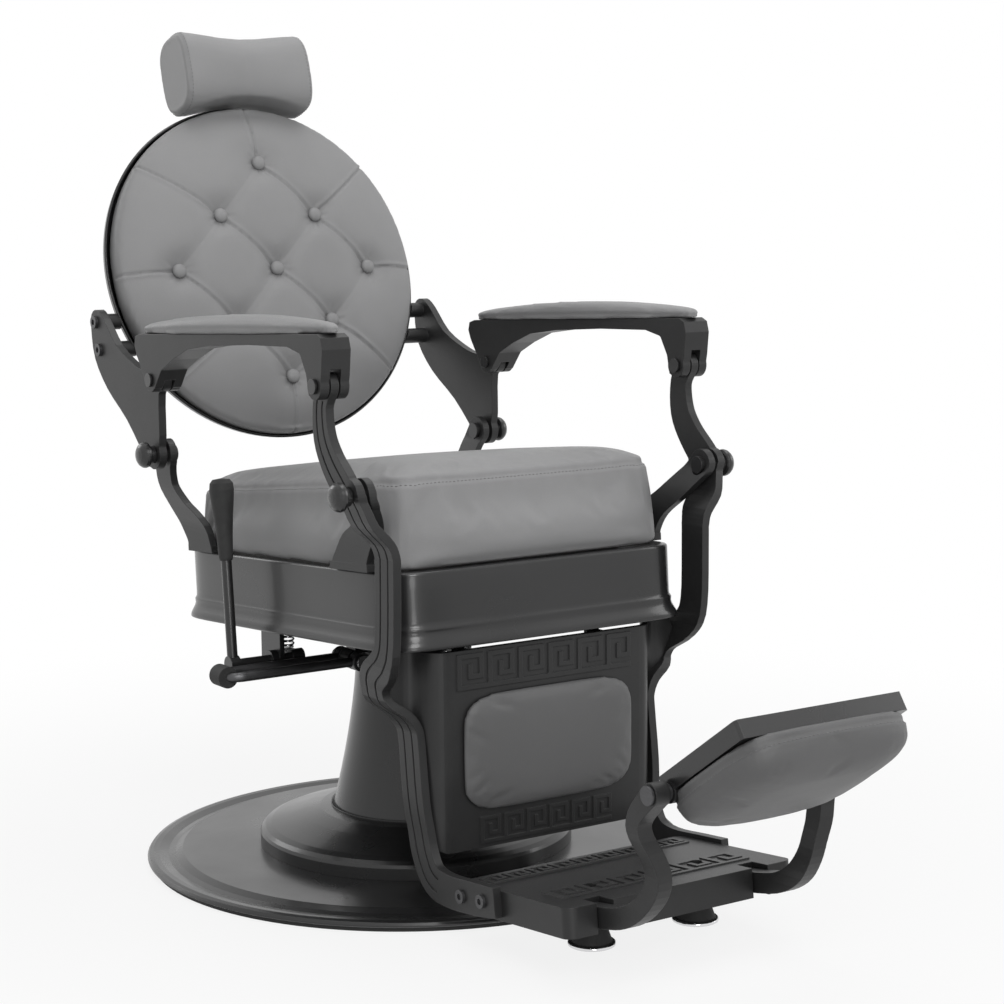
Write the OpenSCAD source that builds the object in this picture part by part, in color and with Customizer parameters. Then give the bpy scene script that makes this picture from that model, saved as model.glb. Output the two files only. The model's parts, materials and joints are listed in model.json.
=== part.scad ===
/* [Base] */
// Radius of the round base
base_r = 340; // [330:2:350]
// Thickness of the flat steel plate under the base
base_plate_h = 5; // [4:0.5:6]
// Step from the rim of the cover in to the steel plate
base_plate_step = 16; // [14:1:18]
// Height of the rubber ring round the edge
edge_ring_h = 6; // [5.5:0.1:6.5]
// Radial width of the rubber ring
edge_ring_w = 10; // [8:0.5:11]
// Thickness of spun and pressed sheet covers
sheet = 3; // [2.5:0.1:3.5]
// Height of the rolled rim above the floor
rim_h = 13; // [12:0.5:14]
// Width of the rolled rim
rim_w = 14; // [12:1:16]
// Width of the groove inside the rim
rim_groove_w = 30; // [26:1:34]
// Depth of the groove below the rim
rim_groove_d = 3; // [2:0.5:4]
// Height at which the cover meets the collar
cover_top_z = 17; // [16:0.5:18]
// Radius of the stepped collar on the cover
collar_r = 198; // [192:1:202]
// Height of the upright wall of the collar
collar_wall = 15; // [13:1:17]
// Height of the dome above the collar wall
collar_dome = 31; // [28:1:33]

/* [Column] */
// Radius of the foot of the bell column
column_foot_r = 105; // [102:1:108]
// Radius of the top of the bell column
column_top_r = 73; // [70:1:76]
// Height of the top of the column above the floor
column_top_z = 262; // [258:1:266]
// How fast the bell opens towards its foot
column_flare = 1.6; // [1.4:0.1:2]
// Outer radius of the pump cylinder
pump_r = 40; // [38:0.5:42]
// Radius of the chromed lifting ram
ram_r = 22; // [20:0.5:24]
// Height of the turning head on the column
pump_head_h = 26; // [24:1:28]
// Radius of the turning head
pump_head_r = 58; // [55:1:60]
// Height of the swivel bearing ring
bearing_h = 8; // [7:0.5:9]
// Lowest point of the ram inside the pump
ram_foot_z = 40; // [36:1:44]

/* [Pump pedal] */
// Reach of the foot loop from the swivel axis
pedal_reach = 268; // [260:1:272]
// Distance between the two rods of the loop
pedal_gap = 36; // [34:1:37]
// Radius of the pedal rods
pedal_rod_r = 6; // [5:0.5:7]
// Place of the pedal pin from the swivel axis
pedal_pin_x = 92; // [91:0.5:94]
// Radius of the pedal pin
pedal_pin_r = 6; // [5.5:0.1:6.5]
// Height of the pedal rods above the floor
pedal_z = 258; // [256:0.5:260]
// Radius of the rubber tread on the pedal
pedal_tread_r = 13; // [12:0.5:14]

/* [Seat] */
// Half width of the seat shroud
shroud_half_w = 201; // [199:0.5:203]
// Half depth of the seat shroud
shroud_half_d = 262; // [259:1:264]
// Place of the seat centre in front of the axis
seat_forward = 23; // [21:1:25]
// Height of the shroud wall
shroud_h = 88; // [84:1:92]
// Flare of the lower lip of the shroud
lip_flare = 7; // [6:0.5:8]
// Height of the top of the shroud above the swivel axis
shroud_top_z = 393; // [392:0.5:394]
// Backward tilt of the seat in degrees
seat_tilt = 3.7; // [3.5:0.1:3.9]
// Squareness of the seat outline
seat_square = 11; // [10:0.1:12]
// Thickness of the wooden seat board
board_h = 10; // [9.5:0.1:10.5]
// Half width of the seat cushion
cushion_half_w = 195; // [193:0.5:196]
// Half depth of the seat cushion
cushion_half_d = 250; // [247:1:251]
// Height of the cushion at its edge
cushion_side_h = 74; // [70:1:78]
// Rise of the crown over the middle of the cushion
cushion_crown = 26; // [22:1:30]
// Width of the steel seat frame between its rails
frame_half_w = 120; // [115:1:125]
// Height of a rail of the seat frame
rail_h = 26; // [24:1:28]
// Width of a rail of the seat frame
rail_w = 22; // [20:1:24]

/* [Knuckles] */
// Place of the front knuckle in front of the axis
front_knuckle_y = 285; // [284:0.5:286]
// Height of the front knuckle
front_knuckle_z = 503; // [502:0.5:504]
// Place of the rear knuckle behind the axis
rear_knuckle_y = 204; // [203:0.5:205]
// Height of the rear knuckle
rear_knuckle_z = 507; // [506:0.5:508]
// Radius of the pivot bolts in the knuckles
knuckle_pin_r = 7; // [6.5:0.1:7.5]
// Radius of the domed knuckle caps
knob_r = 16.5; // [16:0.1:17]
// Radius of the neck under a knuckle cap
knob_neck_r = 11; // [10.5:0.1:11.5]
// Height of the neck under a knuckle cap
knob_neck_h = 11; // [10:0.5:12]
// Height of the dome of a knuckle cap
knob_dome_h = 15; // [14:0.5:16]
// Offset of the middle of the upper links
link_x = 251; // [250.5:0.1:251.5]
// Thickness of the cast links
link_t = 10; // [9.6:0.1:10.4]
// Radius of the eyes at the knuckles
knuckle_eye_r = 19; // [18.5:0.1:19.5]
// Thickness of the seat brackets
bracket_t = 9; // [8.6:0.1:9.2]
// Offset of the top of the seat brackets
bracket_x = 236.4; // [236:0.1:236.6]

/* [Armrests] */
// Place of the rear arm pin behind the axis
arm_rear_y = 180; // [179.5:0.1:180.5]
// Height of the rear arm pin
arm_rear_z = 603; // [602.5:0.1:603.5]
// Place of the front arm pin in front of the axis
arm_front_y = 237; // [236.5:0.1:237.5]
// Height of the front arm pin
arm_front_z = 620; // [619.5:0.1:620.5]
// Radius of the arm pins
arm_pin_r = 5; // [4.8:0.1:5.2]
// Radius of the eyes at the arm pins
arm_eye_r = 15; // [14.5:0.1:15.5]
// Width of an armrest casting
arm_w = 36; // [35:1:38]
// Width of an arm pad
arm_pad_w = 50; // [48:1:52]
// Gap between the ears of an armrest
ear_gap = 14; // [13.6:0.1:14.4]
// Extra length of the slot at the front arm pin, each way
arm_slot = 3; // [2.8:0.1:3.2]
// Play of the front arm pin across its slot, each way
arm_play = 0.5; // [0.4:0.05:0.6]
// Height of the casting top above the pins
arm_top_h = 57; // [55:1:59]
// Thickness of the arm pad at its edge
arm_pad_h = 10; // [9:0.5:11]
// Rise of the crown of the arm pad
arm_pad_crown = 8; // [7:0.5:9]

/* [Leg frame] */
// Height from the front knuckle down to the foot of the leg frame
leg_drop = 440; // [439:0.5:441]
// Depth of the grooves in the leg castings
groove_d = 1.4; // [1.2:0.1:1.6]
// Width of the grooves in the leg castings
groove_w = 3; // [2.6:0.1:3.4]
// Thickness of the front panel
panel_t = 7; // [6.5:0.1:7.5]
// Place of the front panel in front of the axis
panel_y = 294; // [293:0.5:295]
// Height of the bottom of the front panel
panel_z0 = 86; // [84:1:88]
// Height of the top of the front panel
panel_z1 = 318; // [317:0.5:319]
// Half width of the flat middle of the front panel
panel_flat_w = 134; // [132:1:136]
// Half width of the calf pad
calf_half_w = 121; // [119:1:122]
// Height of the bottom of the calf pad
calf_z0 = 127; // [126:0.5:128]
// Height of the top of the calf pad
calf_z1 = 268; // [267:0.5:269]
// Thickness of the calf pad
calf_h = 12; // [11:0.5:13]
// Height of the raised key pattern
relief_h = 1.6; // [1.4:0.1:1.8]

/* [Footplate] */
// Place of the rear edge of the footplate in front of the axis
foot_rear_y = 345; // [344:0.5:346]
// Place of the front edge of the footplate in front of the axis
foot_front_y = 547; // [545:0.5:549]
// Height of the top of the footplate at its rear edge
foot_rear_z = 71; // [70:0.5:72]
// Rise of the footplate towards the front in degrees
foot_tilt = 5.5; // [5.3:0.1:5.7]
// Depth of the footplate skirt
foot_h = 33; // [32:0.5:34]
// Thickness of the tread of the footplate
tread_t = 7; // [6.5:0.1:7.5]
// Width of the skirt of the footplate
skirt_w = 9; // [8.5:0.1:9.5]
// Place of the rubber feet from the middle plane
pad_x = 72; // [70:1:74]
// Place of the rubber feet in front of the axis
pad_y = 476; // [474:1:478]
// Radius of the rubber feet
pad_r = 25; // [24:0.5:26]
// Height of the rubber feet above the floor
pad_z = 18; // [17:0.5:19]

/* [Flip rest] */
// Place of the flip rest pivot in front of the axis
flip_y = 656; // [655:0.5:657]
// Height of the flip rest pivot
flip_z = 232; // [231:0.5:233]
// Slope of the flip rest in degrees
flip_slope = 34.4; // [34:0.1:35]
// Half width of the flip rest
flip_half_w = 109; // [108:0.5:109]
// Length of the flip rest beyond its pivot
flip_len = 137; // [135:0.5:139]
// Length of the flip rest pan behind its pivot
flip_tail = 10; // [9.5:0.1:10.5]
// Thickness of the flip rest pan
flip_pan_h = 20; // [19:0.5:21]
// Thickness of the flip rest pad at its crown
flip_pad_h = 50; // [48:0.5:52]
// Radius of the flip rest pivot pins
flip_pin_r = 6; // [5.8:0.1:6.2]
// Offset of the arms at the flip rest pivot
flip_arm_x = 124; // [123.5:0.1:124.5]
// Offset of the arms at the footplate
foot_arm_x = 106; // [105:0.5:107]
// Width of the arms of the flip rest across the chair
foot_arm_t = 18; // [17:0.5:19]

/* [Back] */
// Place of the middle of the back behind the axis
back_y = 386; // [385:0.5:387]
// Height of the middle of the back
back_z = 726; // [725:0.5:727]
// Lean of the back in degrees
back_lean = 17; // [16.8:0.1:17.2]
// Radius of the round back
back_r = 234; // [233:0.5:235]
// Depth of the shell behind the middle plane of the back
shell_back = 30; // [29:0.5:31]
// Height of the shell rim in front of the middle plane of the back
shell_front = 8; // [7.5:0.1:8.5]
// Thickness of the shell
shell_t = 4; // [3.8:0.1:4.2]
// Height of the cushion edge in front of the middle plane of the back
back_edge_h = 20; // [19:0.5:21]
// Rise of the crown of the back cushion
back_crown = 36; // [34:0.5:38]
// Depth of the tufts in the back cushion
tuft_d = 17; // [16:0.5:18]
// Radius of a tuft
tuft_r = 24; // [22:1:26]
// Depth of the pleats between the tufts
pleat_d = 7; // [6:0.5:8]
// Half width of a pleat
pleat_w = 11; // [10:0.5:12]
// Spacing of the tufts across the back
tuft_x = 76; // [75:0.5:77]
// Spacing of the tufts up the back
tuft_y = 75; // [73:1:77]
// Radius of the covered buttons
button_r = 10; // [9:0.5:11]
// Height of the covered buttons
button_h = 6; // [5.5:0.5:7]

/* [Headrest] */
// Height of the headrest centre above the middle of the back
headrest_up = 276; // [275:0.5:278]
// Place of the headrest centre in front of the middle plane of the back
headrest_front = 20; // [19:0.5:21]
// Half width of the headrest
headrest_half_w = 98; // [96:0.5:100]
// Half height of the headrest
headrest_half_h = 57; // [56:0.5:58]
// Half thickness of the headrest
headrest_half_t = 42; // [41:0.5:43]
// Width of the flat headrest post
post_w = 36; // [34:1:38]
// Thickness of the flat headrest post
post_t = 8; // [7.5:0.1:8.5]
// Radius of the headrest tilt pin
headrest_pin_r = 5; // [4.8:0.1:5.2]

/* [Recline lever] */
// Place of the recline lever from the middle plane
lever_x = 236; // [235:0.5:237]
// Place of the recline lever behind the axis
lever_y = 38; // [37:0.5:39]
// Height of the recline lever pivot
lever_z = 262; // [261:0.5:263]
// Length of the recline lever
lever_len = 228; // [224:1:232]
// Backward lean of the recline lever in degrees
lever_lean = 5; // [4:0.5:6]
// Radius of the lever shank
lever_rod_r = 6.5; // [6:0.1:7]
// Radius of the top of the lever grip
lever_grip_r = 15; // [14:0.5:16]
// Radius of the cross shaft of the lever
lever_shaft_r = 6; // [5.8:0.1:6.2]
// Number of turns of the release spring
spring_turns = 6; // [5:1:7]
// Radius of the release spring
spring_r = 8; // [7.5:0.1:8.5]
// Radius of the wire of the release spring
spring_wire_r = 1.4; // [1.3:0.05:1.5]

/* [Fits] */
// Radial clearance of running pins and rams
fit = 0.05; // [0.04:0.01:0.06]
// Gap between neighbouring pieces that move
gap = 1; // [0.8:0.1:1.2]
// Distance by which a cutting shape overruns the cut piece
overrun = 2; // [1.5:0.5:3]

/* [Hidden] */
$fn = 64;

metal = [0.17, 0.17, 0.18];
satin = [0.25, 0.25, 0.26];
chrome = [0.75, 0.75, 0.77];
rubber = [0.07, 0.07, 0.07];
leather = [0.45, 0.45, 0.46];
wood = [0.55, 0.42, 0.28];

// Side view of a leg casting from its top eye to its foot: forward, up and width as shares of leg_drop
leg_path_shares = [
  [0.109, 0.266, 0.068], [0.136, 0.216, 0.066], [0.130, 0.136, 0.078], [0.091, 0.073, 0.084],
  [0.020, 0, 0.095], [-0.009, -0.075, 0.102], [-0.026, -0.140, 0.091], [-0.028, -0.205, 0.090],
  [-0.023, -0.370, 0.090], [0.005, -0.434, 0.090], [0.073, -0.484, 0.088], [0.100, -0.541, 0.112],
  [0.084, -0.586, 0.116], [0.066, -0.632, 0.098], [0.050, -0.757, 0.098], [0.036, -0.870, 0.099],
  [0.018, -0.943, 0.098], [-0.025, -1.000, 0.094], [-0.102, -1.014, 0.086], [-0.227, -1.003, 0.084],
  [-0.316, -0.991, 0.076]
];
// Front view of a leg casting: distance from the middle plane and height as shares of leg_drop
leg_spread_shares = [
  [0.5705, 0.318], [0.5705, 0.039], [0.566, 0], [0.557, -0.030], [0.541, -0.075], [0.502, -0.120],
  [0.490, -0.155], [0.489, -0.189], [0.489, -0.405], [0.477, -0.468], [0.461, -0.507],
  [0.443, -0.548], [0.398, -0.582], [0.375, -0.618], [0.371, -0.659], [0.371, -0.802],
  [0.3635, -0.890], [0.3625, -0.940], [0.3625, -1.080]
];
// Side view of a front seat bracket from its eye to its foot, as shares of leg_drop
front_bracket_shares = [
  [0, 0, 0.082], [0.050, -0.059, 0.091], [0.114, -0.123, 0.085], [0.170, -0.182, 0.150],
  [0.195, -0.255, 0.214]
];
// Front view of a front seat bracket, as shares of leg_drop from the top of the bracket
front_spread_shares = [
  [0, 0.060], [-0.001, 0], [-0.015, -0.030], [-0.041, -0.068], [-0.064, -0.109], [-0.073, -0.148],
  [-0.075, -0.205], [-0.075, -0.300]
];
// Side view of a rear seat bracket from its eye to its foot, as shares of leg_drop
rear_bracket_shares = [
  [0, 0, 0.082], [0.027, -0.045, 0.086], [0.039, -0.105, 0.095], [0.005, -0.177, 0.109],
  [-0.050, -0.236, 0.136], [-0.068, -0.310, 0.159]
];
// Front view of a rear seat bracket, as shares of leg_drop from the top of the bracket
rear_spread_shares = [
  [0, 0.060], [0, -0.011], [-0.007, -0.045], [-0.023, -0.102], [-0.052, -0.170], [-0.070, -0.227],
  [-0.075, -0.340]
];
// Outline of a back bracket behind its knuckle, as shares of leg_drop
back_bracket_shares = [
  [-0.034, 0.016], [-0.043, 0.057], [-0.046, 0.177], [-0.086, 0.225], [-0.050, 0.250], [-0.016, 0.234],
  [0.050, 0.238], [0.123, 0.255], [0.235, 0.302], [0.318, 0.376], [0.366, 0.402], [0.404, 0.388],
  [0.410, 0.345], [0.388, 0.256], [0.305, 0.170], [0.173, 0.086], [0.064, -0.009], [0.020, -0.039]
];
// Outline of an armrest casting behind its rear pin, as shares of the span between its pins
arm_shares = [
  [-0.030, -0.024], [0.026, -0.024], [0.046, 0.014], [0.086, 0.075], [0.098, 0.105], [0.090, 0.130],
  [0.060, 0.137], [-1.020, 0.137], [-1.042, 0.126], [-1.050, 0.095], [-1.040, 0.030], [-1.026, -0.024],
  [-0.970, -0.024],
  [-0.960, 0.030], [-0.930, 0.085], [-0.860, 0.103], [-0.640, 0.107], [-0.400, 0.103],
  [-0.260, 0.092], [-0.160, 0.062], [-0.080, 0.030]
];
// Side view of an arm of the flip rest: forward, up and width as shares of leg_drop
foot_arm_shares = [
  [-0.460, -0.990, 0.052], [-0.550, -0.982, 0.052], [-0.620, -0.970, 0.052], [-0.690, -0.950, 0.052],
  [-0.750, -0.910, 0.051], [-0.790, -0.850, 0.050], [-0.795, -0.785, 0.048], [-0.780, -0.730, 0.046],
  [-0.785, -0.680, 0.048], [-0.843, -0.616, 0.056]
];
// Front view of an arm of the flip rest, as shares of leg_drop out from the arm's root
foot_spread_shares = [
  [0, -1.080], [0, -0.950], [-0.007, -0.880], [-0.002, -0.820], [0.022, -0.760], [0.0395, -0.715],
  [0.0409, -0.670], [0.0409, -0.540]
];
// Side of the back shell from its rim to its floor, as shares of its radius and of its depth
shell_shares = [[0.993, 0.05], [0.978, 0.25], [0.945, 0.5], [0.885, 0.78], [0.8, 0.95], [0.75, 1]];
// Corners of one hook of the key pattern in line widths
key_hook = [[0, 0], [0, 6], [5, 6], [5, 2], [2.5, 2], [2.5, 4]];
// Pitch of the hooks in line widths
key_pitch = 7;
// Tufts of the back cushion in steps across and up
tufts = [[0, 2], [-1, 1], [1, 1], [-2, 0], [0, 0], [2, 0], [-1, -1], [1, -1], [0, -2]];
// Pleats that join neighbouring tufts
pleats = [
  [0, 1], [0, 2], [1, 3], [1, 4], [2, 4], [2, 5], [3, 6], [4, 6], [4, 7], [5, 7], [6, 8], [7, 8]
];
// Tufts whose pleats run out to the edge, with the direction of each pleat
edge_pleats = [[0, [0, 1]], [1, [-0.8, 0.6]], [2, [0.8, 0.6]], [3, [-1, 0]], [5, [1, 0]], [6, [-0.8, -0.6]],
  [7, [0.8, -0.6]], [8, [0, -1]]];

arm_span = norm([arm_rear_y + arm_front_y, arm_front_z - arm_rear_z]);
arm_rise = atan2(arm_front_z - arm_rear_z, arm_rear_y + arm_front_y);
column_foot_z = cover_top_z + collar_wall + collar_dome;
collar_top_r = column_foot_r + sheet;
fillet_r = link_t * 0.6;
washer_r = knuckle_pin_r * 1.6;
pump_head_z = column_top_z + bearing_h / 2;
hub_top_z = shroud_top_z - rail_h;
lock_x = link_x * 0.25;
lock_y = front_knuckle_y - leg_drop * 0.1627;
lock_z = front_knuckle_z - leg_drop * 0.519;
lock_rod_r = lever_rod_r * 0.9;
foot_half_w = leg_drop * 0.3625 - link_t / 2 - fit / 2;
notch_w = foot_arm_t + gap * 4;
headrest_hinge_up = headrest_up;
headrest_hinge_front = headrest_front - headrest_half_t - headrest_pin_r * 3;

// Points of a smooth curve through a list of points
function spline(a, b, c, d, t) =
  0.5 * (2 * b + (c - a) * t + (2 * a - 5 * b + 4 * c - d) * t * t + (3 * b - a - 3 * c + d) * t * t * t);
function smooth(p, steps) = [
  for (i = [0 : len(p) - 2], k = [0 : steps - 1])
    spline(p[max(i - 1, 0)], p[i], p[i + 1], p[min(i + 2, len(p) - 1)], k / steps),
  p[len(p) - 1]
];
// Unit normal of a plane path at one of its points
function path_normal(p, i) =
  let (d = p[min(i + 1, len(p) - 1)] - p[max(i - 1, 0)])
  [-d[1], d[0]] / norm([d[0], d[1]]);
// Outline of a band along a path of [across, up, width] points, shifted sideways by a share of its width
function band(p, shift_share) = concat(
  [for (i = [0 : len(p) - 1]) [p[i][0], p[i][1]] + path_normal(p, i) * p[i][2] * (shift_share + 0.5)],
  [for (i = [len(p) - 1 : -1 : 0]) [p[i][0], p[i][1]] + path_normal(p, i) * p[i][2] * (shift_share - 0.5)]
);
// A path of plane points with one width all along
function wide(p, w) = [for (q = p) [q[0], q[1], w]];
// The same path moved sideways by a distance
function moved(p, d) = [for (i = [0 : len(p) - 1]) [p[i][0], p[i][1]] + path_normal(p, i) * d];
// Rounded square outline at one height
function square_ring(hw, hd, e, z, n) = [
  for (i = [0 : n - 1])
    let (a = 360 * i / n, c = cos(a), s = sin(a))
    [hw * sign(c) * pow(abs(c), 2 / e), hd * sign(s) * pow(abs(s), 2 / e), z]
];
// Distance of a point from the stretch between two others
function stretch_distance(p, a, b) =
  let (d = b - a, t = max(0, min(1, (p - a) * d / (d * d))))
  norm(p - a - d * t);

// A solid between rings of points, each with the same number of points, closed at both ends
module loft(rings) {
  n = len(rings[0]);
  m = len(rings);
  points = [for (r = rings) each r];
  sides = [
    for (j = [0 : m - 2], i = [0 : n - 1])
      let (a = j * n + i, b = j * n + (i + 1) % n)
      each [[a, a + n, b + n], [a, b + n, b]]
  ];
  bottom = [for (i = [1 : n - 2]) [0, i, i + 1]];
  top = [for (i = [1 : n - 2]) [(m - 1) * n, (m - 1) * n + i + 1, (m - 1) * n + i]];
  polyhedron(points = points, faces = concat(sides, bottom, top), convexity = 6);
}
// A solid whose rings close on themselves like a tyre
module closed_loft(rings) {
  n = len(rings[0]);
  m = len(rings);
  points = [for (r = rings) each r];
  sides = [
    for (j = [0 : m - 1], i = [0 : n - 1])
      let (a = j * n + i, b = j * n + (i + 1) % n, c = (j + 1) % m * n)
      each [[a, c + i, c + (i + 1) % n], [a, c + (i + 1) % n, b]]
  ];
  polyhedron(points = points, faces = sides, convexity = 8);
}
// A slab drawn in side view, from one distance off the middle plane to another
module side_slab(x0, x1) {
  translate([x0, 0, 0]) rotate([90, 0, 90]) linear_extrude(x1 - x0) children();
}
// A slab drawn in front view, from one distance behind the axis to another
module front_slab(y0, y1) {
  translate([0, y1, 0]) rotate([90, 0, 0]) linear_extrude(y1 - y0) children();
}
module at_front_knuckle() {
  translate([0, -front_knuckle_y, front_knuckle_z]) children();
}
module at_rear_knuckle() {
  translate([0, rear_knuckle_y, rear_knuckle_z]) children();
}
module at_seat() {
  translate([0, 0, shroud_top_z]) rotate([-seat_tilt, 0, 0]) translate([0, -seat_forward, 0]) children();
}
module at_arm() {
  translate([0, arm_rear_y, arm_rear_z]) rotate([-arm_rise, 0, 0]) children();
}
module at_back() {
  translate([0, back_y, back_z]) rotate([90 - back_lean, 0, 0]) children();
}
module at_footplate() {
  translate([0, -foot_rear_y, foot_rear_z]) rotate([-foot_tilt, 0, 0]) children();
}
module at_flip() {
  translate([0, -flip_y, flip_z]) rotate([-flip_slope, 0, 0]) children();
}
module right_side() {
  mirror([1, 0, 0]) children();
}
module both_sides() {
  children();
  mirror([1, 0, 0]) children();
}
// A plane outline with its inner corners rounded
module filleted() {
  offset(r = -fillet_r, $fn = 32) offset(delta = fillet_r) children();
}
module x_cylinder(x0, x1, r) {
  translate([x0, 0, 0]) rotate([0, 90, 0]) cylinder(h = x1 - x0, r = r);
}

// Base: floor plate, rubber ring, spun cover and stepped collar
module base_plate() {
  color(metal) cylinder(h = base_plate_h, r = base_r - base_plate_step);
}
module base_edge_ring() {
  r = base_r - base_plate_step;
  color(rubber) rotate_extrude() {
    translate([r, 0]) square([edge_ring_w, edge_ring_h]);
  }
}
module base_cover() {
  inner = base_r - rim_w - rim_groove_w;
  rise = rim_h - edge_ring_h;
  outline = [
    [base_r - sheet / 2, edge_ring_h], [base_r, edge_ring_h + rise * 0.15],
    [base_r, edge_ring_h + rise * 0.4], [base_r - rim_w * 0.15, edge_ring_h + rise * 0.8],
    [base_r - rim_w * 0.5, rim_h], [base_r - rim_w, rim_h - rise * 0.05], [base_r - rim_w - rim_groove_w * 0.4, rim_h - rim_groove_d],
    [base_r - rim_w - rim_groove_w * 0.7, rim_h - rim_groove_d * 0.4], [inner, rim_h + sheet],
    [collar_r - sheet, cover_top_z]
  ];
  color(metal) rotate_extrude() {
    polygon(concat(outline, [
      [collar_r - sheet, cover_top_z - sheet], [inner, rim_h],
      [base_r - rim_w, rim_h - rim_groove_d - sheet], [base_r - rim_w * 0.6, rim_h - sheet],
      [base_r - sheet, edge_ring_h + rise * 0.3], [base_r - sheet * 1.2, edge_ring_h]
    ]));
    translate([base_r - base_plate_step, edge_ring_h]) square([base_plate_step - sheet / 2, sheet]);
  }
}
module base_collar() {
  wall_top = cover_top_z + collar_wall;
  top = wall_top + collar_dome;
  rise_shares = [[0, 0], [0.02, 0.12], [0.07, 0.25], [0.16, 0.36], [0.35, 0.52], [0.6, 0.74], [0.85, 0.94],
    [1, 1]];
  reach = collar_r - collar_top_r;
  color(metal) rotate_extrude() {
    polygon(concat(
      [[collar_r - sheet, cover_top_z], [collar_r, cover_top_z]],
      [for (s = rise_shares) [collar_r - s[0] * reach, wall_top + s[1] * collar_dome]],
      [[pump_r + gap, top], [pump_r + gap, top - sheet]],
      [for (i = [len(rise_shares) - 1 : -1 : 0])
        [collar_r - sheet - rise_shares[i][0] * reach, wall_top + rise_shares[i][1] * collar_dome - sheet]]
    ));
  }
}
module column_cover() {
  steps = 9;
  rise = column_top_z - column_foot_z;
  bell = [
    for (k = [0 : steps])
      let (s = k / steps)
      [column_top_r + (column_foot_r - column_top_r) * pow(1 - s, column_flare), column_foot_z + s * rise]
  ];
  color(metal) rotate_extrude() {
    polygon(concat(
      [[column_foot_r + sheet, column_foot_z]], [[column_foot_r + sheet, column_foot_z + sheet]], bell,
      [[pump_r + bearing_h, column_top_z], [pump_r + bearing_h, column_top_z - sheet]],
      [for (k = [steps : -1 : 0]) [bell[k][0] - sheet, min(bell[k][1], column_top_z - sheet)]]
    ));
  }
}
module swivel_bearing() {
  color(chrome) rotate_extrude() {
    translate([pump_r + fit, column_top_z - bearing_h]) square([bearing_h - fit, bearing_h]);
    translate([pump_r + fit, column_top_z]) square([column_top_r - pump_r - bearing_h, bearing_h / 2]);
  }
}

// Pump: cylinder, turning head and foot pedal
module pump_cylinder() {
  color(satin) difference() {
    translate([0, 0, base_plate_h]) cylinder(h = pump_head_z - base_plate_h, r = pump_r);
    translate([0, 0, ram_foot_z - gap]) cylinder(h = pump_head_z, r = ram_r + fit);
  }
}
module pump_head() {
  lug_w = pedal_gap - pedal_rod_r * 2 - gap * 2;
  color(metal) difference() {
    union() {
      translate([0, 0, pump_head_z]) cylinder(h = pump_head_h, r = pump_head_r);
      translate([-pedal_pin_x, 0, pedal_z]) rotate([90, 0, 0])
        cylinder(h = lug_w, r = pedal_pin_r * 2, center = true);
      translate([-pedal_pin_x, -lug_w / 2, pump_head_z])
        cube([pedal_pin_x, lug_w, pump_head_h * 0.45]);
    }
    translate([0, 0, pump_head_z - overrun]) cylinder(h = pump_head_h + overrun * 2, r = ram_r + fit);
    translate([-pedal_pin_x, 0, pedal_z]) rotate([90, 0, 0])
      cylinder(h = lug_w + overrun * 2, r = pedal_pin_r, center = true);
  }
}
module pedal_pin() {
  reach = pedal_gap / 2 + pedal_rod_r * 2;
  color(chrome) translate([-pedal_pin_x, 0, pedal_z]) rotate([90, 0, 0]) {
    cylinder(h = reach * 2, r = pedal_pin_r, center = true);
    for (s = [-1, 1]) {
      translate([0, 0, s * (reach + pedal_rod_r / 4)])
        cylinder(h = pedal_rod_r / 2, r = pedal_pin_r * 1.5, center = true);
    }
  }
}
module pump_pedal() {
  half = pedal_gap / 2;
  reach = pedal_reach - half;
  bend = half - pedal_rod_r / 2;
  color(satin) difference() {
    union() {
      for (s = [-1, 1]) {
        translate([-reach, s * half, pedal_z]) x_cylinder(0, reach - pedal_pin_x, pedal_rod_r);
        translate([-pedal_pin_x, s * (half + pedal_rod_r / 2), pedal_z]) rotate([90, 0, 0])
          cylinder(h = pedal_rod_r * 2, r = pedal_pin_r * 2, center = true);
      }
      translate([-reach, 0, pedal_z]) rotate([0, 0, 90])
        rotate_extrude(angle = 180) translate([half, 0]) circle(r = pedal_rod_r);
    }
    translate([-pedal_pin_x, 0, pedal_z]) rotate([90, 0, 0])
      cylinder(h = bend * 4 + overrun, r = pedal_pin_r + fit, center = true);
  }
}
module pedal_tread() {
  tread_l = pedal_gap * 0.7;
  color(rubber) difference() {
    translate([-pedal_reach, 0, pedal_z]) rotate([90, 0, 0])
      cylinder(h = tread_l, r = pedal_tread_r, center = true);
    translate([-pedal_reach + pedal_gap / 2, 0, pedal_z]) rotate([0, 0, 90])
      rotate_extrude(angle = 180) translate([pedal_gap / 2, 0]) circle(r = pedal_rod_r);
  }
}

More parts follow.
